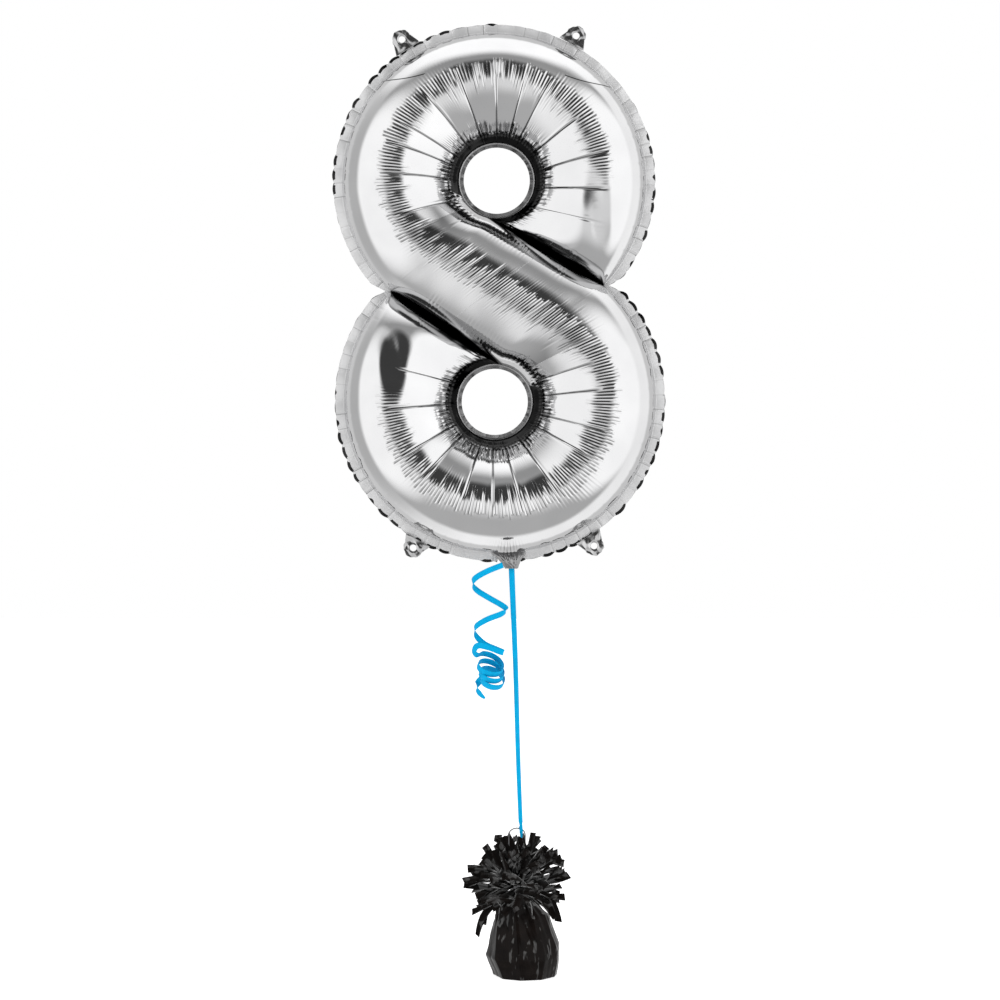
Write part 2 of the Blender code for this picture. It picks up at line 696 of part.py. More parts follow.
def foil_wrap():
    """The black foil bag round the core: a faceted base, folded shoulders and a gathered mouth."""
    rings = []
    count = 2 * WRAP_SIDES
    for z, radius, pleat, shift in WRAP_RINGS:
        ring = []
        for k in range(count):
            angle = 2 * math.pi * k / count + 0.21
            reach = radius + (pleat if k % 2 else -pleat)
            ring.append((shift + reach * math.cos(angle), reach * math.sin(angle), z))
        rings.append(ring)
    points, faces = ring_skin(rings, closed_end=True)
    obj = mesh_object("foil_wrap", points, faces, "black_foil")
    return solidify(obj, WRAP_FILM, -1.0)


def gather_tie():
    """The cord that draws the wrap's mouth in round the stem."""
    bpy.ops.mesh.primitive_torus_add(major_segments=20, minor_segments=6, major_radius=TIE_R,
                                     minor_radius=TIE_CORD_R, location=(HOOK_X, 0.0, TIE_Z))
    obj = bpy.context.active_object
    obj.name = "gather_tie"
    return smooth(place_here(obj, "black_foil"))


def place_here(obj, material):
    for holder in list(obj.users_collection):
        holder.objects.unlink(obj)
    PARTS.objects.link(obj)
    obj.data.materials.append(MATERIALS[material])
    return obj


def fringe_tier(name, height, strips, length, root_rise, tip_rise, phase):
    """One sheet cut into radial strips round a collar on the stem."""
    sector = 2 * math.pi / strips
    collar_r = STRIP_W / 2 / math.sin(sector / 2)
    rows = 4
    points, faces = [], []
    for k in range(strips):
        angle = phase + sector * k
        out = Vector((math.cos(angle), math.sin(angle), 0.0))
        across = Vector((-out.y, out.x, 0.0))
        reach = length * (0.86 + 0.14 * math.cos(2.4 * k + phase))
        mark = len(points)
        for radius in (COLLAR_INNER_R, collar_r):
            for turn in (-0.5, 0.5):
                edge = angle + sector * turn
                points.append(Vector((math.cos(edge), math.sin(edge), 0.0)) * radius)
        faces.append((mark, mark + 1, mark + 3, mark + 2))
        place_at = out * (collar_r * math.cos(sector / 2))
        for row in range(rows - 1):
            rise = math.radians(root_rise + (tip_rise - root_rise) * row / (rows - 2))
            step = reach / (rows - 1)
            lift = Vector((0.0, 0.0, step * math.sin(rise)))
            place_at = place_at + out * (step * math.cos(rise)) + lift
            half = STRIP_W / 2 - 0.0003
            points += [place_at - across * half, place_at + across * half]
            a = mark + 2 + 2 * row
            faces.append((a, a + 1, a + 3, a + 2))
    moved = [p + Vector((HOOK_X, 0.0, height)) for p in points]
    obj = mesh_object(name, moved, faces, "black_foil", (HOOK_X, 0.0, height))
    return solidify(obj, FRINGE_FILM, 0.0)


clear_scene()
PARTS = new_collection("number_balloon")
CUTTERS = new_collection("cutters")
MATERIALS = {name: new_material(name) for name in COLOURS}
PATTERN = flat_pattern()
foil_panel("front_foil_panel", -1.0, PATTERN)
foil_panel("back_foil_panel", 1.0, PATTERN)
for tab in TABS:
    hang_tab(*tab)
valve_films()
inflation_neck()
neck_knot()
ribbon_tether()
hook_knot()
ribbon_curl()
weight_core()
weight_hook()
foil_wrap()
gather_tie()
for order, tier in enumerate(TIERS):
    fringe_tier(*tier, phase=0.35 * order)
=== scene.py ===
import json
import math

import bmesh
import bpy
import numpy as np
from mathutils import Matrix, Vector


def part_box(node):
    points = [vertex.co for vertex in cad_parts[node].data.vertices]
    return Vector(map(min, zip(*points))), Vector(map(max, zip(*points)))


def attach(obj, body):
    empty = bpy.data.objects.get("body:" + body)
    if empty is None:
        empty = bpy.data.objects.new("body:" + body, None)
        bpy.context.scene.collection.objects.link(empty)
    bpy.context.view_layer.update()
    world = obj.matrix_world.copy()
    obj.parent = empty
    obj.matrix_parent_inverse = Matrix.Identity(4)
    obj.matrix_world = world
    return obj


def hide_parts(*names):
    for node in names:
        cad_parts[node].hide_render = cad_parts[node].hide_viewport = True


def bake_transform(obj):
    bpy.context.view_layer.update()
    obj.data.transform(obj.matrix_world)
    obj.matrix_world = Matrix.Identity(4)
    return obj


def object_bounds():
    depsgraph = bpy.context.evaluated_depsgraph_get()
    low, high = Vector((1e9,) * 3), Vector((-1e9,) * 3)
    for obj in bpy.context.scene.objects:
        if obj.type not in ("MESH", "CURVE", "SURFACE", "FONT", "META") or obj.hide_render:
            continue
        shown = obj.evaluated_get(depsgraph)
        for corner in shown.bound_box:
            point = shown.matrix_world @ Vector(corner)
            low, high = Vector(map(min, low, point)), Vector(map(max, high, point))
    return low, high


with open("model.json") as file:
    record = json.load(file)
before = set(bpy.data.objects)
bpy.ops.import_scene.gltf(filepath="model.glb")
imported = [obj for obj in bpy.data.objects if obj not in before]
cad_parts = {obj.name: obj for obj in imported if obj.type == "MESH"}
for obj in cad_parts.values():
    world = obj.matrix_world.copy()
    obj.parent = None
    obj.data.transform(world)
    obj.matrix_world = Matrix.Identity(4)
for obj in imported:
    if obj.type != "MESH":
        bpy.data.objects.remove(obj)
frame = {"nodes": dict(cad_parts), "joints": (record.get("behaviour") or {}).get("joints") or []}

CAD_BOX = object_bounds()

# Lengths are metres, heights are above the floor, and flat points are (x, z) in the bag's plane.
MM = 0.001
PIVOTS = {joint["name"]: joint["pos_m"] for joint in frame["joints"]}
NECK_X, _, NECK_TOP_Z = PIVOTS["balloon_nod"]
SPIN_X, _, NECK_TIE_Z = PIVOTS["balloon_spin"]
HOOK_X = PIVOTS["hook_sway"][0]
NECK_END_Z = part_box("inflation_neck")[0].z
TETHER_TOP_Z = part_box("ribbon_tether")[1].z
TETHER_FOOT = np.array([-0.0065, -0.0034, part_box("ribbon_tether")[0].z])

# ---- sizes of the bag
# Two discs, each a little wider than tall, meet at two side notches. Slits are in degrees.
SQUASH = 1.02
UPPER = {"x": -0.047, "z": 1.212, "seam": 0.2325, "hole_x": -0.043, "hole_z": 1.214, "slit": -102.0}
LOWER = {"x": -0.038, "z": 0.879, "seam": 0.2385, "hole_x": -0.046, "hole_z": 0.876, "slit": 82.0}
HOLE_R = 0.0505
HOLE_SEAM_R = 0.0575
DEPTH = 0.0745
FILM_GAP = 0.0003
SEAM_SINE = 0.975
# the welded rim
FLANGE = 0.0135
FLANGE_LEAN = 0.0042
FLANGE_CELLS = 10
FLANGE_TIP_CELLS = 3
SCALLOP = 0.0038
SCALLOP_SHARE = 0.90
PLEAT = 0.0214
PLEAT_BUMP = 0.0006
# fine folds: spacing, depth, and height of their bumps in the material
TICK = 0.0043
CRIMP = 0.0052
COMB_DEPTH = 0.00026
COMB_IN, COMB_IN_SPREAD = 0.03, 0.20
COMB_OUT, COMB_OUT_SPREAD = 0.09, 0.06
COMB_BUMP = 0.0009
FAN_BUMP = 0.0005
CRIMP_RATE = 0.42
CRIMP_BUMP = 0.0016
CRIMP_DEPTH = 0.00045
# long folds
CREASE_GAPS = (0.048, 0.050)
CREASE_SWELL = 0.0011
CREASE_DEPTH = 0.0007
LOBE_FOLDS = np.array([[[0.116, 1.090], [0.100, 1.250]], [[-0.206, 0.992], [-0.193, 0.868]]])
LOBE_FOLD_DEPTH = 0.0032
LOBE_FOLD_HALF = 0.0125
LIP_OFF = 0.017
LIP_FOLDS = 33
LIP_DEPTH = 0.00022
# painted shade: the film is painted dark in the slits' folds and the holes' throats
SLIT_PAINTED_SHADE = 0.0085
THROAT_PAINTED_SHADE = 0.052
# the film's marks where it has no folds
NO_MARKS = {"shade": 1.0, "place": 0.5, "tick": 0.0, "fan": 0.0, "loops": 0.0, "comb": 0.0, "kink": 0.05}
LOOP_RUNGS = 600
STROKE_RUNGS = 200
ACROSS = 60


# ---- numbers and curves

def smooth_step(x):
    """Smooth rise from 0 at 0 to 1 at 1."""
    x = np.clip(x, 0.0, 1.0)
    return x * x * (3 - 2 * x)


def bell(x):
    return np.exp(-x**2)


def saw(x):
    """Straight-sided folds between 0.5, at each whole number, and -0.5."""
    return np.abs(x % 1.0 - 0.5) * 2 - 0.5


def unit(vectors):
    """Vectors of length one. A zero vector stays zero."""
    return vectors / (np.linalg.norm(vectors, axis=-1, keepdims=True) + 1e-12)


def run_length(points):
    """Distance along a line of points, from its first."""
    return np.concatenate([[0], np.cumsum(np.linalg.norm(np.diff(points, axis=0), axis=1))])


def in_space(flat, y):
    """Flat points at these depths."""
    return np.stack([flat[..., 0], y, flat[..., 1]], -1)


def between(starts, ends, t):
    """A grid of points: one row from each start to its end."""
    return starts[:, None] * (1 - t[:, None]) + ends[:, None] * t[:, None]


def cubic(values, at, axis):
    """Catmull-Rom samples of a grid at fractional positions along one axis."""
    values = np.moveaxis(values, axis, 0)
    i = np.clip(np.floor(at).astype(int), 0, len(values) - 2)
    f = (at - i).reshape((-1,) + (1,) * (values.ndim - 1))
    p0, p1 = values[np.maximum(i - 1, 0)], values[i]
    p2, p3 = values[i + 1], values[np.minimum(i + 2, len(values) - 1)]
    out = p1 + 0.5 * f * (p2 - p0 + f * (2 * p0 - 5 * p1 + 4 * p2 - p3 + f * (3 * (p1 - p2) + p3 - p0)))
    return np.moveaxis(out, 0, axis)


def wave_noise(x, seed, octaves=3, base=1.0):
    """Smooth one-dimensional noise, about -1 to 1."""
    rng = np.random.default_rng(seed)
    total, scale = np.zeros_like(x), 1.0
    for _ in range(octaves):
        knots = rng.uniform(-1, 1, 4096)
        at = x * base + 977.0
        i = np.floor(at).astype(int)
        f = smooth_step(at - i)
        total += scale * (knots[i % 4096] * (1 - f) + knots[(i + 1) % 4096] * f)
        base *= 2.1
        scale *= 0.5
    return total / 1.6


def plane_noise(flat, seed, size):
    """Smooth noise over a plane with bumps about this size, about -1 to 1."""
    rng = np.random.default_rng(seed)
    knots = rng.uniform(-1, 1, (256, 256))
    at = flat / size + 64.0
    i, j = np.moveaxis(np.floor(at).astype(int), -1, 0)
    f, g = smooth_step(at[..., 0] - i), smooth_step(at[..., 1] - j)
    i, j = i % 255, j % 255
    low = knots[i, j] * (1 - f) + knots[i + 1, j] * f
    high = knots[i, j + 1] * (1 - f) + knots[i + 1, j + 1] * f
    return low * (1 - g) + high * g


def hashed(index, seed):
    """A fixed random number from 0 to 1 for each whole number."""
    return np.random.default_rng(seed).random(4096)[np.asarray(index, int) % 4096]


# ---- the bag's flat pattern

def disc_point(disc, degrees, radius):
    """A flat point round a disc's middle."""
    a = np.radians(degrees)
    return np.stack([disc["x"] + radius * np.cos(a), disc["z"] + radius * np.sin(a) / SQUASH], -1)


def hole_point(disc, degrees, radius):
    """A flat point round the middle of a disc's hole."""
    a = np.radians(degrees)
    return np.stack([disc["hole_x"] + radius * np.cos(a), disc["hole_z"] + radius * np.sin(a)], -1)


def disc_angle(disc, point):
    return math.degrees(math.atan2((point[1] - disc["z"]) * SQUASH, point[0] - disc["x"]))


def seam_crossings():
    """Where the two discs' seams cross, the left point first."""
    up, low = (np.array([disc["x"], disc["z"] * SQUASH]) for disc in (UPPER, LOWER))
    gap = low - up
    dist = np.linalg.norm(gap)
    along = (dist**2 + UPPER["seam"]**2 - LOWER["seam"]**2) / (2 * dist)
    side = math.sqrt(UPPER["seam"]**2 - along**2)
    middle = up + gap / dist * along
    across = np.array([-gap[1], gap[0]]) / dist * side
    ends = sorted([middle - across, middle + across], key=lambda point: point[0])
    return [np.array([point[0], point[1] / SQUASH]) for point in ends]


NOTCH_L, NOTCH_R = seam_crossings()
SLITS = (
    (hole_point(UPPER, UPPER["slit"], HOLE_SEAM_R), NOTCH_R),
    (hole_point(LOWER, LOWER["slit"], HOLE_SEAM_R), NOTCH_L),
)
TOP_KINKS = (
    (disc_point(UPPER, 138.0, 0.232), disc_point(UPPER, 123.0, 0.190)),
    (disc_point(UPPER, 39.5, 0.229), disc_point(UPPER, 56.0, 0.190)),
)


def loop_ends(disc, turn, count):
    """Ends of the rungs round one loop. Those on the hole's seam bunch up at the slit."""
    start = disc_angle(disc, NOTCH_R)
    end = disc_angle(disc, NOTCH_L) % 360.0 + min(turn, 0.0)
    angle = np.linspace(start, end, count)
    first = np.clip(1.0 - np.abs(angle - start) / 75.0, 0, 1)**3
    last = np.clip(1.0 - np.abs(end - angle) / 75.0, 0, 1)**3
    bunched = angle + (disc["slit"] - start) * first + (disc["slit"] + turn - end) * last
    return hole_point(disc, bunched, HOLE_SEAM_R), disc_point(disc, angle, disc["seam"])


def tube_ends(loop_count, stroke_count):
    """Both ends of every rung along the S-shaped tube, from its upper end to its lower end."""
    hole_u, disc_u = loop_ends(UPPER, 360.0, loop_count)
    hole_l, disc_l = loop_ends(LOWER, -360.0, loop_count)
    t = np.linspace(0.0, 1.0, stroke_count + 2)[1:-1, None]
    top, low = SLITS
    side_a = np.concatenate([hole_u, top[0] + (top[1] - top[0]) * t, disc_l])
    side_b = np.concatenate([disc_u, low[1] + (low[0] - low[1]) * t, hole_l])
    return side_a, side_b


def line_frame(pts, line):
    """Distance from a line and position along it, 0 at its start and 1 at its end."""
    start, end = line
    span = end - start
    along = ((pts - start) @ span) / (span @ span)
    near = start + np.clip(along, 0, 1)[..., None] * span
    return np.linalg.norm(pts - near, axis=-1), along


# ---- film under pressure

def membrane(points, steps=900):
    """Sag of a pressed membrane over a grid of points in the plane, held at the grid's rim."""
    rows, cols = points.shape[:2]
    flat = points.reshape(-1, 2)
    index = np.arange(rows * cols).reshape(rows, cols)
    corners = index[:-1, :-1], index[1:, :-1], index[1:, 1:], index[:-1, 1:]
    a, b, c, d = (corner.ravel() for corner in corners)
    tris = np.concatenate([np.stack([a, b, c], 1), np.stack([a, c, d], 1)])
    p = flat[tris]
    area = np.abs(np.cross(p[:, 1] - p[:, 0], p[:, 2] - p[:, 0])) / 2 + 1e-12
    ends, weights = [], []
    for k in range(3):
        i, j, o = tris[:, k], tris[:, (k + 1) % 3], tris[:, (k + 2) % 3]
        u, v = flat[i] - flat[o], flat[j] - flat[o]
        weights.append(np.clip((u * v).sum(1) / (4 * area), -50, 50))
        ends.append(np.stack([i, j], 1))
    ends, weights = np.concatenate(ends), np.concatenate(weights)
    count = len(flat)
    load = sum(np.bincount(tris[:, k], area / 3, count) for k in range(3))
    inside = np.zeros((rows, cols), bool)
    inside[1:-1, 1:-1] = True
    inside = inside.ravel()
    diag = np.bincount(ends[:, 0], weights, count) + np.bincount(ends[:, 1], weights, count)
    diag = np.where(diag > 1e-9, diag, 1e-9)

    def pull(x):
        flow = weights * (x[ends[:, 0]] - x[ends[:, 1]])
        out = np.bincount(ends[:, 0], flow, count) - np.bincount(ends[:, 1], flow, count)
        return np.where(inside, out, 0.0)

    # conjugate gradients
    x = np.zeros(count)
    r = np.where(inside, load, 0.0)
    z = r / diag
    way, rz = z.copy(), float(r @ z)
    for _ in range(steps):
        pulled = pull(way)
        alpha = rz / float(way @ pulled)
        x += alpha * way
        r -= alpha * pulled
        z = r / diag
        new = float(r @ z)
        if new < 1e-16:
            break
        way = z + way * (new / rz)
        rz = new
    return x.reshape(rows, cols)


def blown_ring(disc, edge):
    """Across a ring of blown film, with edge 0 at the hole's seam and 1 at the disc's: the share of the way
    (one half at the crown), the height, and how far a flat ring sags when it is pressed evenly."""
    near, far = HOLE_SEAM_R, disc["seam"]
    r = near + (far - near) * (1 - np.cos(np.linspace(0, np.pi, 1201))) / 2
    low, high = near, far
    for _ in range(40):
        crown = (low + high) / 2
        sine = np.clip(SEAM_SINE * (crown**2 - r**2) / (far**2 - crown**2), -0.999, 0.90)
        slope = sine / np.sqrt(1 - sine**2)
        height = np.concatenate([[0], np.cumsum((slope[1:] + slope[:-1]) / 2 * np.diff(r))])
        low, high = (crown, high) if height[-1] < 0 else (low, crown)
    height = np.clip(height, 0, None)
    share = np.where(r < crown, 0.5 * (r**2 - near**2) / (crown**2 - near**2),
                     0.5 + 0.5 * (r**2 - crown**2) / (far**2 - crown**2))
    even = np.linspace(0, 1, 801)
    flat = near + even * (far - near)
    sag = (near**2 - flat**2) / 4 + (far**2 - near**2) * np.log(flat / near) / (4 * np.log(far / near))
    place = (r - near) / (far - near)
    share, height = (np.interp(edge, place, curve) for curve in (share, height / height.max()))
    return share, height, np.interp(edge, even, sag / sag.max())


def tube_height():
    """The fine grid's flat points, the film's height and its share across there, and how much each row
    belongs to the upper and the lower loop."""
    coarse_loop, coarse_stroke, coarse_across = 150, 50, 44
    coarse = between(*tube_ends(coarse_loop, coarse_stroke), np.linspace(0, 1, coarse_across + 1))
    rows_at = np.concatenate([
        np.linspace(0, coarse_loop - 1, LOOP_RUNGS),
        coarse_loop - 1 + np.linspace(0, coarse_stroke + 1, STROKE_RUNGS + 2)[1:-1],
        coarse_loop + coarse_stroke + np.linspace(0, coarse_loop - 1, LOOP_RUNGS)])
    # columns lie closer together near both seams
    t = np.linspace(0.0, 1.0, ACROSS + 1)
    t = t * 0.14 + 0.86 * (1 - np.cos(np.pi * t)) / 2
    sag = np.clip(cubic(cubic(membrane(coarse), rows_at, 0), t * coarse_across, 1), 1e-12, None)
    rows = np.arange(len(rows_at))
    upper = smooth_step((LOOP_RUNGS * 1.02 - rows) / (LOOP_RUNGS * 0.16))
    lower = smooth_step((rows - len(rows) + LOOP_RUNGS * 1.02) / (LOOP_RUNGS * 0.16))
    middle = (1.0 - upper - lower)[:, None]
    share, shape = middle * t, middle * 4 * t * (1 - t)
    plain = shape
    for disc, weight, edge in ((UPPER, upper[:, None], t), (LOWER, lower[:, None], 1.0 - t)):
        way, rise, flat_sag = blown_ring(disc, edge)
        share = share + weight * (way if disc is UPPER else 1.0 - way)
        shape = shape + weight * rise**2
        plain = plain + weight * flat_sag
    ratio = shape / np.maximum(plain, 1e-9)
    ratio[:, 0], ratio[:, -1] = ratio[:, 1], ratio[:, -2]
    sag = sag * ratio
    height = DEPTH * np.sqrt(sag / sag.max())
    height[:, 0] = height[:, -1] = height[0] = height[-1] = 0.0
    return between(*tube_ends(LOOP_RUNGS, STROKE_RUNGS), t), height, share, upper, lower


# ---- the film's folds

def crease_lines(start, stop, gap, seed):
    """Long radial folds: place along the tube, reach, depth and skew of each."""
    rng = np.random.default_rng(seed)
    lines = []
    at = start + rng.uniform(0.4, 0.8) * gap
    while at < stop:
        lines.append((at, rng.uniform(0.50, 0.66), rng.uniform(0.5, 1.0), rng.uniform(-1, 1)))
        at += gap * rng.uniform(0.62, 1.38)
    return lines


def fan_count(length, lines):
    """Running count of the long folds, a whole number on each of them."""
    places = [line[0] for line in lines]
    return np.interp(length, places, np.arange(len(places)), left=-0.5, right=len(places) - 0.5)


def creases(length, hole_share, lines):
    """Long narrow folds that fan out from a hole, with the film swelling a little between them."""
    places = np.array([line[0] for line in lines])
    order = np.clip(np.searchsorted(places, length), 1, len(places) - 1)
    low, high = places[order - 1], places[order]
    gap = np.maximum(high - low, 1e-4)
    u = np.clip((length - low) / gap, 0, 1)
    swell = (1 - (2 * u - 1)**2) * np.clip(gap / 0.05, 0.3, 1.2)
    rise = smooth_step(hole_share / 0.06) * smooth_step((0.62 - hole_share) / 0.34)
    move = CREASE_SWELL * swell[:, None] * rise
    for place, reach, deep, skew in lines:
        off = length[:, None] - place - 0.004 * skew * (hole_share - 0.2)
        width = 0.0011 + 0.0012 * hole_share
        fade = smooth_step((reach - hole_share) / 0.16) * smooth_step(hole_share / 0.025)
        ridge = bell((off - 2.4 * width * np.sign(skew)) / (1.5 * width))
        move += CREASE_DEPTH * deep * (0.5 * ridge - bell(off / width)) * fade
    return move


def kink_distance(pts):
    """Signed distance to the two sharp folds at the top, large beyond their ends. The folds are drawn only as
    painted dark shade lines.
    """
    best = np.full(pts.shape[:2], NO_MARKS["kink"])
    for start, end in TOP_KINKS:
        way = unit(end - start)
        along = (pts - start) @ way / np.linalg.norm(end - start)
        off = (pts - start) @ np.array([-way[1], way[0]]) + 0.0035 * np.sin(np.pi * along) * np.sign(way[0])
        off = np.where((along > -0.02) & (along < 1.0), off, NO_MARKS["kink"])
        best = np.where(np.abs(off) < np.abs(best), off, best)
    return best


def crown_comb(tick, length, share, seed):
    """Fine short folds in a comb along the crown, each with its own length and depth."""
    cell = np.floor(tick)
    centre = 0.5 + 0.05 * wave_noise(length, seed + 1, 2, 14.0) + 0.03 * (hashed(cell, seed + 3) - 0.5)
    half = 0.115 + 0.05 * wave_noise(length, seed + 2, 2, 24.0) + 0.12 * hashed(cell, seed + 4)
    tall = -2.0 * saw(tick) * (0.25 + 0.75 * hashed(cell, seed + 5))
    return tall[:, None] * np.clip(1.0 - ((share - centre[:, None]) / half[:, None])**2, 0, 1)


def hole_crimps(length, hole_share, crimp, seed):
    """The crimped ring round each hole, with a rolled edge inside it."""
    ring = bell((hole_share - 0.075) / 0.045)
    fine = -2.0 * CRIMP_DEPTH * saw(crimp) * (0.3 + 0.7 * hashed(np.floor(crimp), seed + 9))
    slow = 0.0007 * wave_noise(length, seed + 10, 2, 55.0)
    roll = 0.0009 * (1 + 0.4 * wave_noise(length, seed + 11, 2, 40.0))
    return ring * (fine + slow)[:, None] + bell((hole_share - 0.050) / 0.014) * roll[:, None]


def rim_pleats(length, hole_share, seed):
    """Short pleats at the outer seam."""
    pleat = length * 1.5 / PLEAT + 0.25 * wave_noise(length, seed + 12, 1, 20.0)
    cell = np.floor(pleat)
    fold = bell((pleat - cell - 0.5) / 0.07) * (0.25 + 0.75 * hashed(cell, seed + 13)**2)
    return -0.0008 * smooth_step((hole_share - 0.86) / 0.12) * fold[:, None]


def slit_lips(pts, slit, seed):
    """Folds square to a slit, along its lips."""
    near, along = line_frame(pts, slit)
    lip = bell((near - LIP_OFF) / 0.008) * smooth_step(along / 0.08) * smooth_step((1 - along) / 0.06)
    comb = np.sin(2 * np.pi * along * LIP_FOLDS + 2.0 * wave_noise(along * 40, seed + 30, 2))
    return LIP_DEPTH * lip * comb * smooth_step(0.4 + 1.6 * wave_noise(along * 9.0, seed + 31, 2))


def lobe_fold(pts, line):
    """One long soft fold down the free end of a lobe."""
    near, along = line_frame(pts, line)
    fade = smooth_step(along / 0.30) * smooth_step((1 - along) / 0.55)
    return -LOBE_FOLD_DEPTH * fade * bell(near / LOBE_FOLD_HALF - 0.2 * np.sin(4.0 * along))


def neck_gathers(pts, seed):
    """Where the film is gathered over the neck, and its folds there, from 0 to 1."""
    beside = pts[..., 0] - NECK_X
    above = pts[..., 1] - (LOWER["z"] - LOWER["seam"] / SQUASH)
    where = bell(beside / (0.010 + 0.5 * above.clip(0, 0.03))) * smooth_step((0.024 - above) / 0.020)
    lean = beside * (1 + 18 * (pts[..., 1] - NECK_TOP_Z))
    waves = 0.5 + 0.5 * np.sin(2 * np.pi * lean / 0.0058 + 1.2 * wave_noise(beside * 300, seed + 40, 1))
    return where, waves


def film_shade(pts, length, hole_share, loops, crimp, seed):
    """Painted shade: how dark the film is painted, nearly black in the holes' throats and the slits' folds,
    where little light comes back.
    """
    ragged = 0.008 * (hashed(np.floor(crimp), seed + 14) - 0.3)
    ragged = ragged + 0.006 * wave_noise(length, seed + 15, 2, 35.0)
    # painted shade: the throat round each hole is painted nearly black
    dark = smooth_step((THROAT_PAINTED_SHADE + ragged[:, None] - hole_share) / 0.010) * (loops > 0.02)
    waver = 0.0016 * plane_noise(pts, seed + 17, 0.012)
    for slit in SLITS:
        near, along = line_frame(pts, slit)
        inside = smooth_step((along + 0.06) / 0.05) * smooth_step((1.04 - along) / 0.05)
        wide = SLIT_PAINTED_SHADE * (0.55 + 0.45 * smooth_step(np.minimum(along, 1 - along) / 0.2))
        # a painted highlight: a bright sliver of folded film within the painted shade
        painted_sliver = bell((near - 0.48 * wide - waver) / 0.0008)
        painted_sliver = painted_sliver * smooth_step(0.3 + 1.6 * wave_noise(along * 11.0, seed + 18, 2))
        dark = np.maximum(dark, inside * smooth_step((wide + waver - near) / 0.003) * (1 - 0.55 * painted_sliver))
    return 1.0 - 0.975 * dark


def bag_surface(side):
    """The front (side -1) or back (side 1) film as a grid of points with its folds, and the marks that its
    material reads: painted shade, place across from a hole (-0.5) to the rim (0.5), running counts of the
    comb's (tick), the fans' and the rim's (beat) folds, where loops and comb are, and the distance to a kink."""
    pts, height, share, upper, lower = tube_height()
    seed = 31 if side < 0 else 77
    rows = np.arange(len(height))
    length = run_length(pts[:, ACROSS // 2])
    total = length[-1]
    surf = in_space(pts, side * height)
    normal = unit(np.cross(np.gradient(surf, axis=0), np.gradient(surf, axis=1)))
    normal *= np.sign(normal[..., 1:2] * side + 1e-9)
    comb = smooth_step((np.minimum(length, total - length) - 0.115) / 0.06)
    loops = np.clip(upper + lower, 0, 1)[:, None]
    hole_share = upper[:, None] * share + lower[:, None] * (1 - share) + (1 - loops) * 0.5

    tick = length / TICK + 0.5 * wave_noise(length, seed, 2, 30.0)
    crimp = length / CRIMP + wave_noise(length, seed + 8, 2, 60.0)
    move = COMB_DEPTH * crown_comb(tick, length, share, seed) * comb[:, None]
    fan = np.zeros(len(rows))
    reach = length[LOOP_RUNGS] * 1.02
    spans = ((upper, 0.05, reach, 3), (lower, total - reach, total - 0.05, 5))
    for (mask, start, stop, extra), gap in zip(spans, CREASE_GAPS):
        lines = crease_lines(start, stop, gap, seed + extra)
        move = move + creases(length, hole_share, lines) * mask[:, None]
        fan = np.where(mask > 0.5, fan_count(length, lines) + 100 * extra, fan)
    rims = hole_crimps(length, hole_share, crimp, seed) + rim_pleats(length, hole_share, seed)
    move = move + loops * rims
    # slow unevenness of the film
    for deep, extra, size in ((0.0014, 20, 0.085), (0.0004, 21, 0.034)):
        move = move + deep * plane_noise(pts, seed + extra, size) * height / DEPTH
    move = move + sum(slit_lips(pts, slit, seed) for slit in SLITS)
    move = move + sum(lobe_fold(pts, line) for line in LOBE_FOLDS)
    where, waves = neck_gathers(pts, seed)
    move = move + 0.0013 * where * waves

    fade = smooth_step(np.minimum(share, 1 - share) / 0.012)
    end_fade = smooth_step(np.minimum(rows, rows[::-1]) / 6.0)[:, None]
    surf += normal * (move * fade * end_fade)[..., None]
    surf[..., 1] += side * FILM_GAP / 2
    marks = {name: np.repeat(values[:, None], ACROSS + 1, 1)
             for name, values in (("tick", tick), ("fan", fan), ("loops", loops[:, 0]), ("comb", comb))}
    marks["beat"] = np.zeros_like(share)
    marks["kink"] = kink_distance(pts)
    marks["place"] = np.where(rows[:, None] < len(rows) / 2, share - 0.5, 0.5 - share)
    shade = film_shade(pts, length, hole_share, loops, crimp, seed)
    # painted shade in the valleys of the gathers over the neck
    marks["shade"] = shade * (1 - 0.75 * where * (1 - waves)**2)
    return surf, marks


# ---- mesh helpers

def grid_faces(rows, cols, first=0):
    """Quads over a grid of points."""
    i = (np.arange(rows - 1)[:, None] * cols + np.arange(cols - 1) + first).ravel()
    return np.stack([i, i + 1, i + cols + 1, i + cols], 1).tolist()


def tube_faces(rows, turns):
    """Quads between closed rings of points."""
    k = np.arange(turns)
    after = (k + 1) % turns
    row = np.arange(rows - 1)[:, None] * turns
    return np.stack([row + k, row + after, row + turns + after, row + turns + k], -1).reshape(-1, 4).tolist()


def put_in_scene(name, data):
    obj = bpy.data.objects.new(name, data)
    bpy.context.scene.collection.objects.link(obj)
    return obj


def make_mesh(name, points, faces, *materials):
    mesh = bpy.data.meshes.new(name)
    mesh.from_pydata(np.reshape(points, (-1, 3)).tolist(), [], faces)
    for material in materials:
        mesh.materials.append(material)
    return mesh


def place_mesh(mesh, body, slot, *nodes):
    """Welds and shades a mesh, and puts it in the scene on its body, in place of these nodes."""
    shape = bmesh.new()
    shape.from_mesh(mesh)
    bmesh.ops.remove_doubles(shape, verts=shape.verts, dist=2e-6)
    bmesh.ops.dissolve_degenerate(shape, edges=shape.edges, dist=1e-7)
    bmesh.ops.recalc_face_normals(shape, faces=shape.faces)
    shape.to_mesh(mesh)
    shape.free()
    mesh.shade_smooth()
    obj = put_in_scene(mesh.name, mesh)
    if body:
        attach(obj, body)
    if nodes:
        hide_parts(*nodes)
    return obj


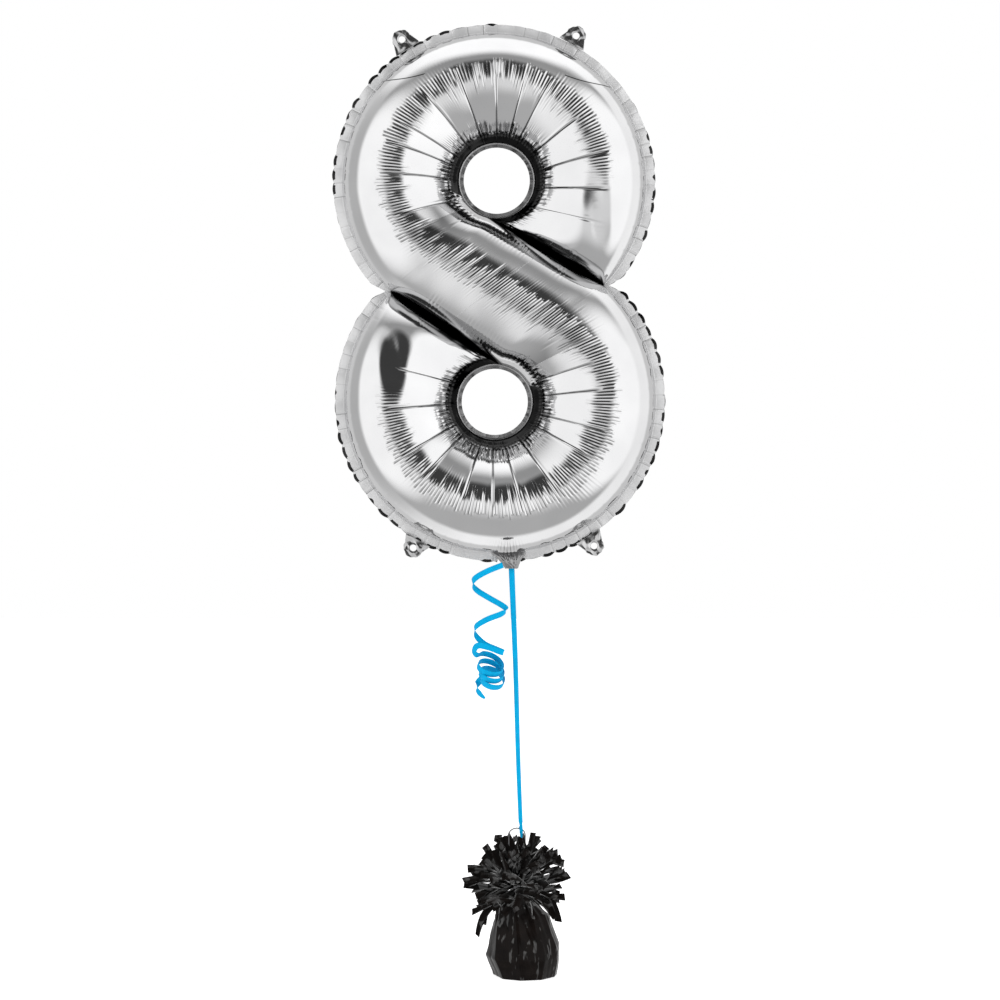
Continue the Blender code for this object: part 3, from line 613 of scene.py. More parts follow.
def give_thickness(obj, thickness, offset):
    """Turns a sheet into a closed body of this thickness."""
    mod = obj.modifiers.new("film", "SOLIDIFY")
    mod.thickness = thickness
    mod.offset = offset
    graph = bpy.context.evaluated_depsgraph_get()
    mesh = bpy.data.meshes.new_from_object(obj.evaluated_get(graph))
    obj.modifiers.clear()
    old = obj.data
    obj.data = mesh
    bpy.data.meshes.remove(old)
    mesh.name = obj.name


def film_piece(mesh, thickness, offset, body, slot, *nodes):
    """A piece with a film's thickness that reflections leave out, so that the mirror foil stays clean."""
    obj = place_mesh(mesh, body, slot, *nodes)
    obj.visible_glossy = False
    give_thickness(obj, thickness, offset)
    return obj


# ---- shader helpers

def add_node(tree, kind, inputs=(), **settings):
    """A node with these settings, its inputs linked to sockets or set to values."""
    node = tree.nodes.new("ShaderNode" + kind)
    for name, value in settings.items():
        setattr(node, name, value)
    for name, value in dict(inputs).items():
        if isinstance(value, bpy.types.NodeSocket):
            tree.links.new(value, node.inputs[name])
        else:
            node.inputs[name].default_value = value
    return node


def calc(kind, *values):
    tree = next(value.id_data for value in values if isinstance(value, bpy.types.NodeSocket))
    return add_node(tree, "Math", enumerate(values), operation=kind).outputs[0]


def product(first, *others):
    for other in others:
        first = calc("MULTIPLY", first, other)
    return first


def ease(value, low, high):
    """Smooth rise from 0 at low to 1 at high."""
    inputs = {"Value": value, "From Min": low, "From Max": high}
    return add_node(value.id_data, "MapRange", inputs, interpolation_type="SMOOTHSTEP").outputs["Result"]


def past(value, edge, room):
    """Smooth rise from 0 at an edge to 1 at this much room past it."""
    return ease(value, edge, calc("ADD", edge, room))


def mix(base, patch, value):
    """From base, where the patch is 0, to value, where it is 1."""
    return add_node(patch.id_data, "Mix", {0: patch, 2: base, 3: value}).outputs[0]


def held(tree, *names):
    """Marks kept on the mesh's points."""
    return [add_node(tree, "Attribute", attribute_name=name).outputs["Fac"] for name in names]


def dice(cell, seed):
    """A fixed random number from 0 to 1 for each whole number."""
    inputs = {"W": calc("ADD", cell, seed * 17.0)}
    return add_node(cell.id_data, "TexWhiteNoise", inputs, noise_dimensions="1D").outputs["Value"]


def scatter(cell, seed, least, spread):
    """A fixed random number from least to least + spread for each whole number."""
    return calc("MULTIPLY_ADD", dice(cell, seed), spread, least)


def nearest_line(count):
    """For a running count of lines: the nearest line's number and how far off it is, 0 to one half."""
    cell = calc("ROUND", count)
    return cell, calc("ABSOLUTE", calc("SUBTRACT", count, cell))


def noise(place, scale, detail, rough):
    inputs = {"Vector": place, "Scale": scale, "Detail": detail, "Roughness": rough}
    return add_node(place.id_data, "TexNoise", inputs).outputs["Fac"]


def ramp(source, *stops):
    """Colours, or plain greys, at two places of a source."""
    node = add_node(source.id_data, "ValToRGB", {"Fac": source})
    for element, (place, value) in zip(node.color_ramp.elements, stops):
        element.position = place
        element.color = (*value, 1.0) if isinstance(value, tuple) else (value, value, value, 1.0)
    return node.outputs["Color"]


def add_bumps(shader, distance, *sources):
    """Bumps from (height, strength) pairs, each on top of the last."""
    tree, normal = shader.id_data, shader.inputs["Normal"]
    for height, strength in sources:
        node = add_node(tree, "Bump", {"Strength": strength, "Distance": distance, "Height": height})
        if normal.is_linked:
            tree.links.new(normal.links[0].from_socket, node.inputs["Normal"])
        tree.links.new(node.outputs["Normal"], normal)


def new_material(name):
    mat = bpy.data.materials.new(name)
    mat.use_nodes = True
    return mat, mat.node_tree, mat.node_tree.nodes["Principled BSDF"]


def drifting_material(name, metal, tones, rough, broad, fine, tone_stops, fine_low):
    """A material that drifts between two tones and two roughnesses, and its two noises."""
    mat, tree, shader = new_material(name)
    place = add_node(tree, "TexCoord").outputs["Object"]
    broad, fine = noise(place, *broad), noise(place, *fine)
    tree.links.new(ramp(broad, *zip(tone_stops, tones)), shader.inputs["Base Color"])
    tree.links.new(ramp(fine, (fine_low, rough[0]), (0.7, rough[1])), shader.inputs["Roughness"])
    shader.inputs["Metallic"].default_value = metal
    return mat, shader, place, broad, fine


# ---- materials

def fold_painted_shade(tree):
    """Painted shade lines and height of the film's fine folds: the comb at the crown, the fans, the crimped
    rings and a painted dark line on each kink.
    """
    tick, place, fan, loops, comb, kink = held(tree, "tick", "place", "fan", "loops", "comb", "kink")
    # the comb: painted shade lines with uneven ends either side of the crown
    cell, off = nearest_line(tick)
    inner = scatter(cell, 1, -COMB_IN, -COMB_IN_SPREAD)
    outer = scatter(cell, 2, COMB_OUT, COMB_OUT_SPREAD)
    within = product(past(place, inner, 0.09), past(place, outer, -0.025), comb)
    marks = [product(ease(off, 0.24, 0.05), within, scatter(cell, 3, 0.3, 0.5))]
    height = product(off, within, scatter(cell, 4, COMB_BUMP * 0.3, COMB_BUMP))
    # the fans: thin painted shade lines that run out from the holes
    cell, off = nearest_line(fan)
    along = product(past(place, scatter(cell, 5, -0.03, 0.16), -0.10), ease(place, -0.47, -0.44), loops)
    marks.append(product(ease(off, 0.024, 0.010), along, scatter(cell, 6, 0.68, 0.30)))
    height = calc("ADD", height, product(ease(off, 0.055, 0.0), along, -FAN_BUMP))
    # the crimps: short broad painted shade lines round the holes
    cell, off = nearest_line(calc("MULTIPLY", tick, CRIMP_RATE))
    band = product(past(place, scatter(cell, 7, -0.435, 0.055), -0.02), ease(place, -0.475, -0.462), loops)
    marks.append(product(ease(off, 0.30, 0.12), band, scatter(cell, 8, 0.25, 0.6)))
    height = calc("ADD", height, product(off, band, CRIMP_BUMP))
    # a painted dark shade line along each kink
    marks.append(product(ease(calc("ABSOLUTE", kink), 0.0013, 0.0004), 0.9))
    return product(*(calc("SUBTRACT", 1.0, mark) for mark in marks)), height


def pleat_painted_shade(tree):
    """Painted shade lines and height of the pleats that cross the welded rim."""
    cell, off = nearest_line(*held(tree, "beat"))
    deep = dice(cell, 9)
    line = product(ease(off, 0.045, 0.010), deep, 0.55)
    return calc("SUBTRACT", 1.0, line), product(ease(off, 0.16, 0.0), deep, -PLEAT_BUMP)


def silver_foil(name, low, high, rough, marks=None, grain=0.05, metal=1.0):
    """Bright foil with a faint ripple and a fine grain. Marks fold it and darken it with painted shade."""
    mat, shader, place, _, fine = drifting_material(
        name, metal, ((low, low, low * 1.01), (high, high, high * 1.005)), rough,
        broad=(9.0, 3.0, 0.5), fine=(60.0, 4.0, 0.6), tone_stops=(0.3, 0.7), fine_low=0.35)
    add_bumps(shader, 0.0004, (fine, 0.10), (noise(place, 420.0, 2.0, 0.5), grain))
    if marks:
        tree = mat.node_tree
        clear, height = marks(tree)
        add_bumps(shader, 1.0, (height, 1.0))
        colour = shader.inputs["Base Color"]
        # painted shade: the base colour is multiplied by the painted shade lines and the painted shade kept
        # on the points
        inputs = {0: 1.0, 6: colour.links[0].from_socket, 7: calc("MULTIPLY", clear, *held(tree, "shade"))}
        dim = add_node(tree, "Mix", inputs, data_type="RGBA", blend_type="MULTIPLY")
        tree.links.new(dim.outputs[2], colour)
    return mat


def crease_shine(place):
    """Shine along a few upright creases of the drawn-up foil, and little between them."""
    upright = add_node(place.id_data, "Mapping", {"Vector": place, "Scale": (1.0, 1.0, 0.16)})
    return ramp(noise(upright.outputs["Vector"], 120.0, 2.0, 0.6), (0.60, 0.07), (0.64, 0.90))


def strip_shine(place):
    """Shine in patches on the strips' outer halves, and next to none inside the tuft."""
    inputs = {0: place, 1: (HOOK_X, 0.0, 0.145)}
    away = add_node(place.id_data, "VectorMath", inputs, operation="DISTANCE").outputs["Value"]
    patches = ramp(noise(place, 62.0, 1.0, 0.5), (0.55, 0.03), (0.60, 0.55))
    return calc("MULTIPLY", ease(away, 0.012, 0.045), patches)


def sheet_material(name, low, high, rough, metal=0.0, scale=40.0, specular=0.5, strength=0.15, shine=None):
    """A thin sheet: two tones that drift into each other, uneven gloss and a fine grain."""
    mat, shader, place, broad, fine = drifting_material(
        name, metal, (low, high), rough,
        broad=(scale, 4.0, 0.55), fine=(scale * 5, 3.0, 0.6), tone_stops=(0.32, 0.68), fine_low=0.3)
    add_bumps(shader, 0.0006, (broad, strength), (fine, strength * 0.7))
    shader.inputs["Specular IOR Level"].default_value = specular
    if shine:
        mat.node_tree.links.new(shine(place), shader.inputs["Specular IOR Level"])
    return mat


FOIL = silver_foil("silver_foil", 0.84, 0.95, (0.045, 0.11), fold_painted_shade)
SEAM_FOIL = silver_foil("seam_foil", 0.54, 0.64, (0.30, 0.44), pleat_painted_shade, 0.06, 0.35)
# painted shade: a near-black copy of the rim foil for the back film's tips that show past the front scallops
SEAM_SHADED_TIP = silver_foil("seam_foil_back", 0.012, 0.05, (0.22, 0.40), None, 0.2)
SEAM_HOLE = silver_foil("seam_foil_hole", 0.30, 0.50, (0.24, 0.38), None, 0.2)
EAR_FOIL = silver_foil("ear_foil", 0.55, 0.85, (0.10, 0.22), None, 0.15)
NECK_FOIL = silver_foil("neck_foil", 0.18, 0.50, (0.12, 0.26), None, 0.2)
RIBBON = sheet_material(
    "ribbon_blue", (0.0, 0.325, 0.61), (0.0, 0.370, 0.68), (0.45, 0.6), scale=90.0, specular=0.08)
BLACK_FILM = sheet_material(
    "black_film", (0.0040, 0.0031, 0.0028), (0.0085, 0.0064, 0.0056), (0.04, 0.10),
    scale=55.0, strength=0.10, shine=crease_shine)
FRINGE_FILM = sheet_material(
    "fringe_film", (0.0036, 0.0028, 0.0025), (0.0075, 0.0058, 0.0051), (0.10, 0.22),
    scale=75.0, strength=0.2, shine=strip_shine)
HOOK_METAL = sheet_material("hook_metal", (0.05, 0.05, 0.052), (0.16, 0.16, 0.165), (0.25, 0.45), 0.9, 160.0)
CORE_METAL = sheet_material("core_metal", (0.10, 0.10, 0.105), (0.26, 0.26, 0.27), (0.5, 0.75), 0.7, 60.0)
VALVE_PLASTIC = sheet_material(
    "valve_plastic", (0.72, 0.74, 0.76), (0.86, 0.87, 0.88), (0.25, 0.4), 0.0, 50.0)
FINISHES = {
    "weight_core": CORE_METAL, "weight_hook": HOOK_METAL, "gather_tie": BLACK_FILM,
    "valve_front_film": VALVE_PLASTIC, "valve_back_film": VALVE_PLASTIC,
}
BAG_MATERIALS = (FOIL, SEAM_FOIL, SEAM_SHADED_TIP, SEAM_HOLE)
BULGE_SLOT, RIM_SLOT, SHADED_TIP_SLOT, HOLE_SLOT = range(4)


# ---- the bag

def flange_strip(seam, away, width, cols, lift):
    """Points from a seam outwards to the free edge, in so many columns."""
    share = np.arange(1, cols + 1) / cols
    flat = seam[:, None, [0, 2]] + away[:, None] * np.outer(width, share)[..., None]
    return in_space(flat, seam[:, 1:2] + np.outer(lift, share**1.4))


def outer_flange(disc, seam, side):
    """The welded rim outside a disc's seam: waves, scallops and, on the back film, tips that show past
    them, painted dark as shade. It returns the running count of pleats too."""
    run = run_length(seam)
    flat = seam[:, [0, 2]]
    away = unit((flat - np.array([disc["x"], disc["z"]])) * np.array([1.0, SQUASH**2]))
    notch_off = np.minimum(*(np.linalg.norm(flat - notch, axis=1) for notch in (NOTCH_L, NOTCH_R)))
    room = smooth_step(notch_off / 0.035)
    seed = 50 if disc is UPPER else 60
    beat = run / PLEAT + 0.3 * wave_noise(run, seed, 1, 25.0)
    cell = np.floor(beat)
    place = beat - cell
    width = 0.005 + (FLANGE - 0.005) * room
    if side < 0:
        dip = bell(np.minimum(place, 1 - place) / 0.05)
        width = width - (0.0010 * dip + 0.0003 * wave_noise(run, seed + 2, 2, 80.0)) * room
    else:
        hump = np.sin(np.pi * np.clip(place / SCALLOP_SHARE, 0, 1))**0.7
        bite = smooth_step(0.2 + 0.9 * hashed(cell, seed + 1))
        bite = bite * smooth_step(0.75 + 1.1 * wave_noise(run, seed + 5, 1, 5.0))
        width = width + (SCALLOP * hump * bite - 0.0004) * room
    # next to nothing at the neck
    neck = smooth_step((0.0165 - np.abs(flat[:, 0] - NECK_X)) / 0.002) * (flat[:, 1] < LOWER["z"] - 0.2)
    width = width * (1 - neck) + 0.0008 * neck
    lean = FLANGE_LEAN + 0.0016 * np.sin(np.pi * beat + 1.5 * wave_noise(run, seed + 3, 1, 9.0))
    lift = (lean + 0.0007 * wave_noise(run, seed + 4, 2, 70.0)) * room * (1 - neck)
    return flange_strip(seam, away, width, FLANGE_CELLS, lift), beat


def inner_flange(disc, seam):
    """The rim inside a hole's seam."""
    run = np.arange(len(seam)) * 0.0009
    away = unit(np.array([disc["hole_x"], disc["hole_z"]]) - seam[:, [0, 2]])
    width = np.full(len(seam), HOLE_SEAM_R - HOLE_R)
    return flange_strip(seam, away, width, 3, 0.0006 * wave_noise(run, 70, 2, 90.0))


def build_bag(name, side, node):
    """One film of the bag with its rims, with its marks kept on the points."""
    surf, marks = bag_surface(side)
    rows, cols = surf.shape[:2]
    upper, lower = slice(LOOP_RUNGS), slice(rows - LOOP_RUNGS, rows)
    strips = []
    for disc, rungs, col in ((UPPER, upper, -1), (LOWER, lower, 0)):
        seam = surf[rungs, col]
        strip, beat = outer_flange(disc, seam, side)
        marks["beat"][rungs, col] = beat
        strips.append((seam, strip, beat, RIM_SLOT))
    for disc, seam in ((UPPER, surf[upper, 0]), (LOWER, surf[lower, -1])):
        strips.append((seam, inner_flange(disc, seam), np.zeros(len(seam)), HOLE_SLOT))
    points, faces = [surf.reshape(-1, 3)], grid_faces(rows, cols)
    slots = [np.full(len(faces), BULGE_SLOT)]
    values = {key: [value.ravel()] for key, value in marks.items()}
    for seam, strip, beat, slot in strips:
        block = np.concatenate([seam[:, None], strip], 1)
        r, c = block.shape[:2]
        faces += grid_faces(r, c, sum(len(p) for p in points))
        points.append(block.reshape(-1, 3))
        for key in values:
            values[key].append(np.repeat(beat, c) if key == "beat" else np.full(r * c, NO_MARKS[key]))
        strip_slots = np.full((r - 1, c - 1), slot)
        # painted shade: the back film's tips past the front scallops take the near-black tip foil
        if slot == RIM_SLOT and side > 0:
            strip_slots[:, -FLANGE_TIP_CELLS:] = SHADED_TIP_SLOT
        slots.append(strip_slots.ravel())
    mesh = make_mesh(name, np.concatenate(points), faces, *BAG_MATERIALS)
    mesh.polygons.foreach_set("material_index", np.concatenate(slots))
    for key, value in values.items():
        kept = mesh.attributes.new(key, "FLOAT", "POINT")
        kept.data.foreach_set("value", np.concatenate(value).astype(np.float32))
    place_mesh(mesh, "balloon", "silver_foil", node)
    if sum(face.normal.y * face.area for face in mesh.polygons) * side < 0:
        mesh.flip_normals()


# ---- ears and neck

EAR_FILM = 0.00025
EAR_R = 0.0148
EAR_ROOT = 0.0215
EAR_OVERLAP = 0.0006
EYELET_R = 0.0050
# CAD node, body, disc, place round it in degrees, distance from the root to the eyelet, seed
EARS = (
    ("hang_tab_top_left", "tab_top_left", UPPER, 122.4, 0.0170, 11),
    ("hang_tab_top_right", "tab_top_right", UPPER, 61.2, 0.0140, 12),
    ("hang_tab_bottom_left", "tab_bottom_left", LOWER, -119.9, 0.0140, 13),
    ("hang_tab_bottom_right", "tab_bottom_right", LOWER, -57.7, 0.0170, 14),
)
# height, half width in x and in y, and depth of the pleats, in millimetres from the lowest level up
NECK_LEVELS = MM * np.array((
    (21.5, 9.2, 8.2, 1.6), (24.5, 10.8, 9.8, 1.4), (28, 12.6, 11.2, 1.4), (31.5, 14.6, 12.4, 1.5),
    (35, 17.2, 12.4, 1.6), (38.5, 20.4, 10.8, 1.6), (41.5, 23.2, 8.2, 1.4), (44, 25.2, 4.6, 0.8),
    (47.2, 26.2, 1.2, 0.3)))


def ear_reach(a, depth, seed):
    """How far an ear's edge is from its eyelet's middle. It runs down to a root line wider than the ear."""
    if math.sin(a) >= 0:
        return EAR_R * (1.0 + 0.035 * math.sin(5 * a + seed) + 0.02 * math.sin(11 * a))
    slope = -math.sin(a) / max(abs(math.cos(a)), 1e-6)
    under = depth - (EAR_ROOT - EAR_R) * slope
    share = EAR_R * slope / under if under > 0 else 2.0
    if share >= 1:
        return depth / -math.sin(a)
    return math.hypot(EAR_R + share * (EAR_ROOT - EAR_R), share * depth)


def ear_piece(node, body, disc, degrees, eyelet, seed):
    """A crumpled ear of foil with a punched eyelet, growing out of the flange."""
    edge = disc_point(disc, degrees, disc["seam"] + FLANGE - EAR_OVERLAP)
    out = unit(edge - disc_point(disc, degrees, 0.0))
    side = np.array([out[1], -out[0]])
    depth = eyelet + EAR_OVERLAP
    centre = edge + out * depth
    turns, rings = 72, 16
    angles = np.linspace(0, 2 * np.pi, turns, endpoint=False)
    reach = np.array([ear_reach(a, depth, seed) for a in angles])
    way = np.outer(np.cos(angles), side) + np.outer(np.sin(angles), out)
    radius = EYELET_R + np.outer(np.linspace(0, 1, rings), reach - EYELET_R)
    flat = centre + way * radius[..., None]
    crumple = 0.0011 * plane_noise(flat, seed, 0.0120) + 0.0003 * plane_noise(flat, seed + 1, 0.0050)
    crease = flat @ np.array([0.8, 0.6]) / 0.0150 + 0.4 * plane_noise(flat, seed + 2, 0.02)
    stiff = smooth_step((radius - EYELET_R) / 0.003)
    stiff = stiff * (0.25 + 0.75 * smooth_step((flat - edge) @ out / 0.006))
    points = in_space(flat, (crumple + 0.0008 * saw(crease)) * stiff)
    mesh = make_mesh(node.replace("hang_tab", "ear"), points, tube_faces(rings, turns), EAR_FOIL)
    obj = place_mesh(mesh, None, "tab_foil", node)
    give_thickness(obj, EAR_FILM, 0.0)
    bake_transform(obj)


def neck_piece():
    """The filling neck: a gathered cup of foil under the bag, drawn in over the ribbon's knot."""
    turns, rows = 144, 48
    height = np.linspace(NECK_LEVELS[-1, 0], NECK_LEVELS[0, 0], rows)
    rx, ry, pleat = (np.interp(height, NECK_LEVELS[:, 0], NECK_LEVELS[:, k]) for k in (1, 2, 3))
    middle = np.interp(height, NECK_LEVELS[[0, -1], 0], [SPIN_X, NECK_X])
    angle = np.linspace(0, 2 * np.pi, turns, endpoint=False)
    large = saw(angle * 15 / (2 * np.pi) + 0.35 * wave_noise(angle * 3, 91, 2))
    small = 0.35 * saw(angle * 41 / (2 * np.pi))
    points = []
    for k in range(rows):
        wave = np.interp(angle + 0.12 * math.sin(height[k] * 160), angle, large, period=2 * np.pi) + small
        grow = pleat[k] * wave + 0.0005 * wave_noise(angle * 4 + height[k] * 300, 95, 2)
        z = NECK_END_Z - NECK_LEVELS[0, 0] + height[k] + 0.0012 * wave * (k / rows)
        x = middle[k] + (rx[k] + grow) * np.cos(angle)
        points.append(np.stack([x, (ry[k] + grow) * np.sin(angle), z], -1))
    mesh = make_mesh("gathered_neck", points, tube_faces(rows, turns), NECK_FOIL)
    obj = film_piece(mesh, EAR_FILM, -1.0, None, "tab_foil", "inflation_neck")
    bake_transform(obj)


# ---- the ribbon

# the free end's wide turns, from its pivot in millimetres: side in x, height, depth in y
CURL_KNOTS = (
    (0, 0, 0), (-23, -9, -5), (-41.5, -19.5, -3), (-46.4, -29, 5), (-39, -39.5, 9), (-20, -51, 4),
    (-1, -61.5, -6), (5.5, -68, -12), (-4, -74.5, -15), (-23, -82, -12), (-39, -91.5, -4),
    (-43.7, -100, 5), (-39, -111, 9), (-27, -121, 3), (-10, -128, -7), (1, -132.5, -13),
    (-4, -131.5, -15.5), (-22, -125, -13), (-38, -122.5, -8), (-44, -131, -2))
CURL_TAIL = ((-37.5, -179, 3), (-40, -188, -2), (-35, -196, -5), (-27.5, -203, -6))
COIL_R = 0.0215
COIL_STEPS = 31
COIL_STEPS_A_TURN = 10
NECK_TURNS = 2.04


def ribbon_piece(name, path, across, widths, body, *nodes, camber=0.00035):
    """A flat ribbon along a path: five points across, a little dished, with its true thickness."""
    across = unit(np.asarray(across))
    up = unit(np.cross(np.gradient(path, axis=0), across))
    half = np.reshape(widths, (-1, 1)) / 2
    places = np.linspace(-1.0, 1.0, 5)
    points = [path + across * half * place + up * camber * (1 - place**2) for place in places]
    mesh = make_mesh(name, np.stack(points, 1), grid_faces(len(path), len(places)), RIBBON)
    return film_piece(mesh, 0.0004, 0.0, body, "blue_ribbon", *nodes)


def turned(turn, side=1.0):
    """Level directions at these angles from the x axis."""
    return np.stack([np.cos(turn), side * np.sin(turn), np.zeros_like(turn)], -1)


def build_tether():
    """The taut length between the neck and the hook."""
    t = np.linspace(0, 1, 90)
    top = np.array([SPIN_X, 0.0, TETHER_TOP_Z])
    path = top + np.outer(t, TETHER_FOOT - top)
    path[:, 0] += 0.0008 * np.sin(t * 5.0) * np.sin(np.pi * t)
    across = turned(0.35 * np.sin(t * 2.6 + 0.2))
    across[-1] = across[-2]
    obj = ribbon_piece("ribbon_tether_strip", path, across, 0.0090 - 0.0026 * t, None, "ribbon_tether")
    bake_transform(obj)


def steered(along, axis, pull=0.30):
    """A ribbon's width direction, carried along the path and drawn gently to an axis."""
    at = axis[0]
    across = []
    for way, aim in zip(along, axis):
        at = at + pull * aim * np.sign(at @ aim + 1e-9)
        at = unit(at - way * (at @ way))
        across.append(at)
    return np.array(across)


def build_curl():
    """The free end: three wide turns, one turned back on itself, then a bunch of tight tilted loops."""
    lean, open_by = math.radians(-21), math.radians(30)
    major = np.array([math.cos(lean), math.sin(lean), 0.0])
    minor = np.array([-math.sin(lean), math.cos(lean), 0.0]) * math.sin(open_by)
    minor[2] = math.cos(open_by)
    coil = []
    for k in range(COIL_STEPS):
        angle = math.radians(168) - 2 * math.pi * k / COIL_STEPS_A_TURN
        part = k / (COIL_STEPS + 0.5)
        middle = np.array([-0.0205 + 0.0055 * part, -0.1470 - 0.0330 * part, -0.0050])
        grow = COIL_R * (1.0 - 0.16 * part)
        coil.append(middle + grow * (major * math.cos(angle) + minor * math.sin(angle)))
    knots = np.concatenate([np.multiply(CURL_KNOTS, MM), coil, np.multiply(CURL_TAIL, MM)])
    path = cubic(knots, np.linspace(0, len(knots) - 1, 640), 0)[:, [0, 2, 1]] + PIVOTS["curl_sway"]
    coil_axis = np.cross(minor, major)[[0, 2, 1]]
    coil_axis = coil_axis * np.sign(coil_axis[2])
    swap = smooth_step((np.linspace(0, 1, len(path)) - 0.31) / 0.06)
    axis = np.outer(1 - swap, [0.16, 0.0, 1.0]) + np.outer(swap, coil_axis)
    across = steered(unit(np.gradient(path, axis=0)), axis)
    widths = 0.0088 + 0.0012 * swap
    widths[-14:] *= np.linspace(1.0, 0.35, 14)
    ribbon_piece("ribbon_curled_end", path, across, widths, "curl", "ribbon_curl")


def build_knots():
    """The drawn-tight turns at the neck, and the loop and short tail on the hook."""
    turn = np.linspace(0, 2 * np.pi * NECK_TURNS, 120)
    path = np.stack([SPIN_X + 0.0096 * np.cos(turn), 0.0096 * np.sin(turn),
                     NECK_TIE_Z + 0.0012 * np.sin(turn / NECK_TURNS + 0.4)], -1)
    ribbon_piece("ribbon_neck_turns", path, (0.0, 0.0, 1.0), 0.0040, "neck", "ribbon_neck_knot", camber=0.0)
    x, _, z = PIVOTS["ribbon_sway"]
    a = np.linspace(-0.5 * np.pi, 1.62 * np.pi, 60)
    drift = np.linspace(-0.0006, 0.0006, len(a))
    loop = np.stack([x + drift, -0.0002 - 0.0042 * np.sin(a), z - 0.0016 + 0.0056 * np.cos(a)], -1)
    widths = np.interp(np.linspace(0, 1, len(a)), [0, 0.2, 0.8, 1], [0.0036, 0.0026, 0.0026, 0.0036])
    ribbon_piece("ribbon_hook_loop", loop, (1.0, 0.0, 0.12), widths, "tether", camber=0.0)
    t = np.linspace(0, 1, 40)
    top, end = TETHER_FOOT[2] + 0.004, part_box("ribbon_hook_knot")[0].z
    tail = np.stack([x + 0.0012 * t + 0.0010 * np.sin(3 * t), -0.0042 - 0.0016 * np.sin(np.pi * t),
                     top - (top - end) * t], -1)
    widths = np.interp(t, [0, 0.3, 0.8, 1.0], [0.0058, 0.0046, 0.0050, 0.0022])
    across = turned(0.5 * t + 0.15, -1.0)
    ribbon_piece("ribbon_hook_tail", tail, across, widths, "tether", "ribbon_hook_knot", camber=0.0002)


# ---- the weight

WRAP_TOP_Z = 0.1225
WRAP_FACETS = 9
WRAP_LIMIT_R = 0.0598
HOOK_PIVOT_Z = PIVOTS["hook_sway"][2]
FRINGE_STEPS = 13
FRINGE_HALF_DEPTH = 0.088
FRINGE_TOP_Z = 0.236
# by sheet: root height, strips, and ranges of the rise in degrees and of the length
FRINGE_SHEETS = (
    (0.1275, 20, (-62, -14), (0.052, 0.068)), (0.1335, 28, (-30, 14), (0.056, 0.074)),
    (0.1395, 30, (-6, 34), (0.056, 0.074)), (0.1455, 28, (16, 52), (0.056, 0.074)),
    (0.1515, 34, (36, 66), (0.056, 0.072)))
# (sheet, strip): how much longer than drawn
STRETCHED = {(0, 12): 1.25, (1, 0): 1.25, (1, 9): 1.22, (2, 1): 1.25, (2, 13): 1.2, (3, 3): 1.2, (3, 14): 1.2}
# by sheet: azimuth and rise in degrees, length, droop in degrees, width
LONG_STRIPS = (
    ((-118, -30, 0.082, -55, 0.0118), (-152, -14, 0.098, -52, 0.0112), (176, -22, 0.074, -20, 0.0060)),
    ((-18, 2, 0.088, -42, 0.0135), (-176, -4, 0.078, 10, 0.0124)),
    ((-6, 15, 0.070, -4, 0.0120), (-160, 20, 0.066, -10, 0.0110)),
    ((-8, 36, 0.080, -8, 0.0124), (-170, 48, 0.068, -8, 0.0112)),
    ((-165, 64, 0.070, -6, 0.0112), (-12, 52, 0.058, -8, 0.0112)),
)


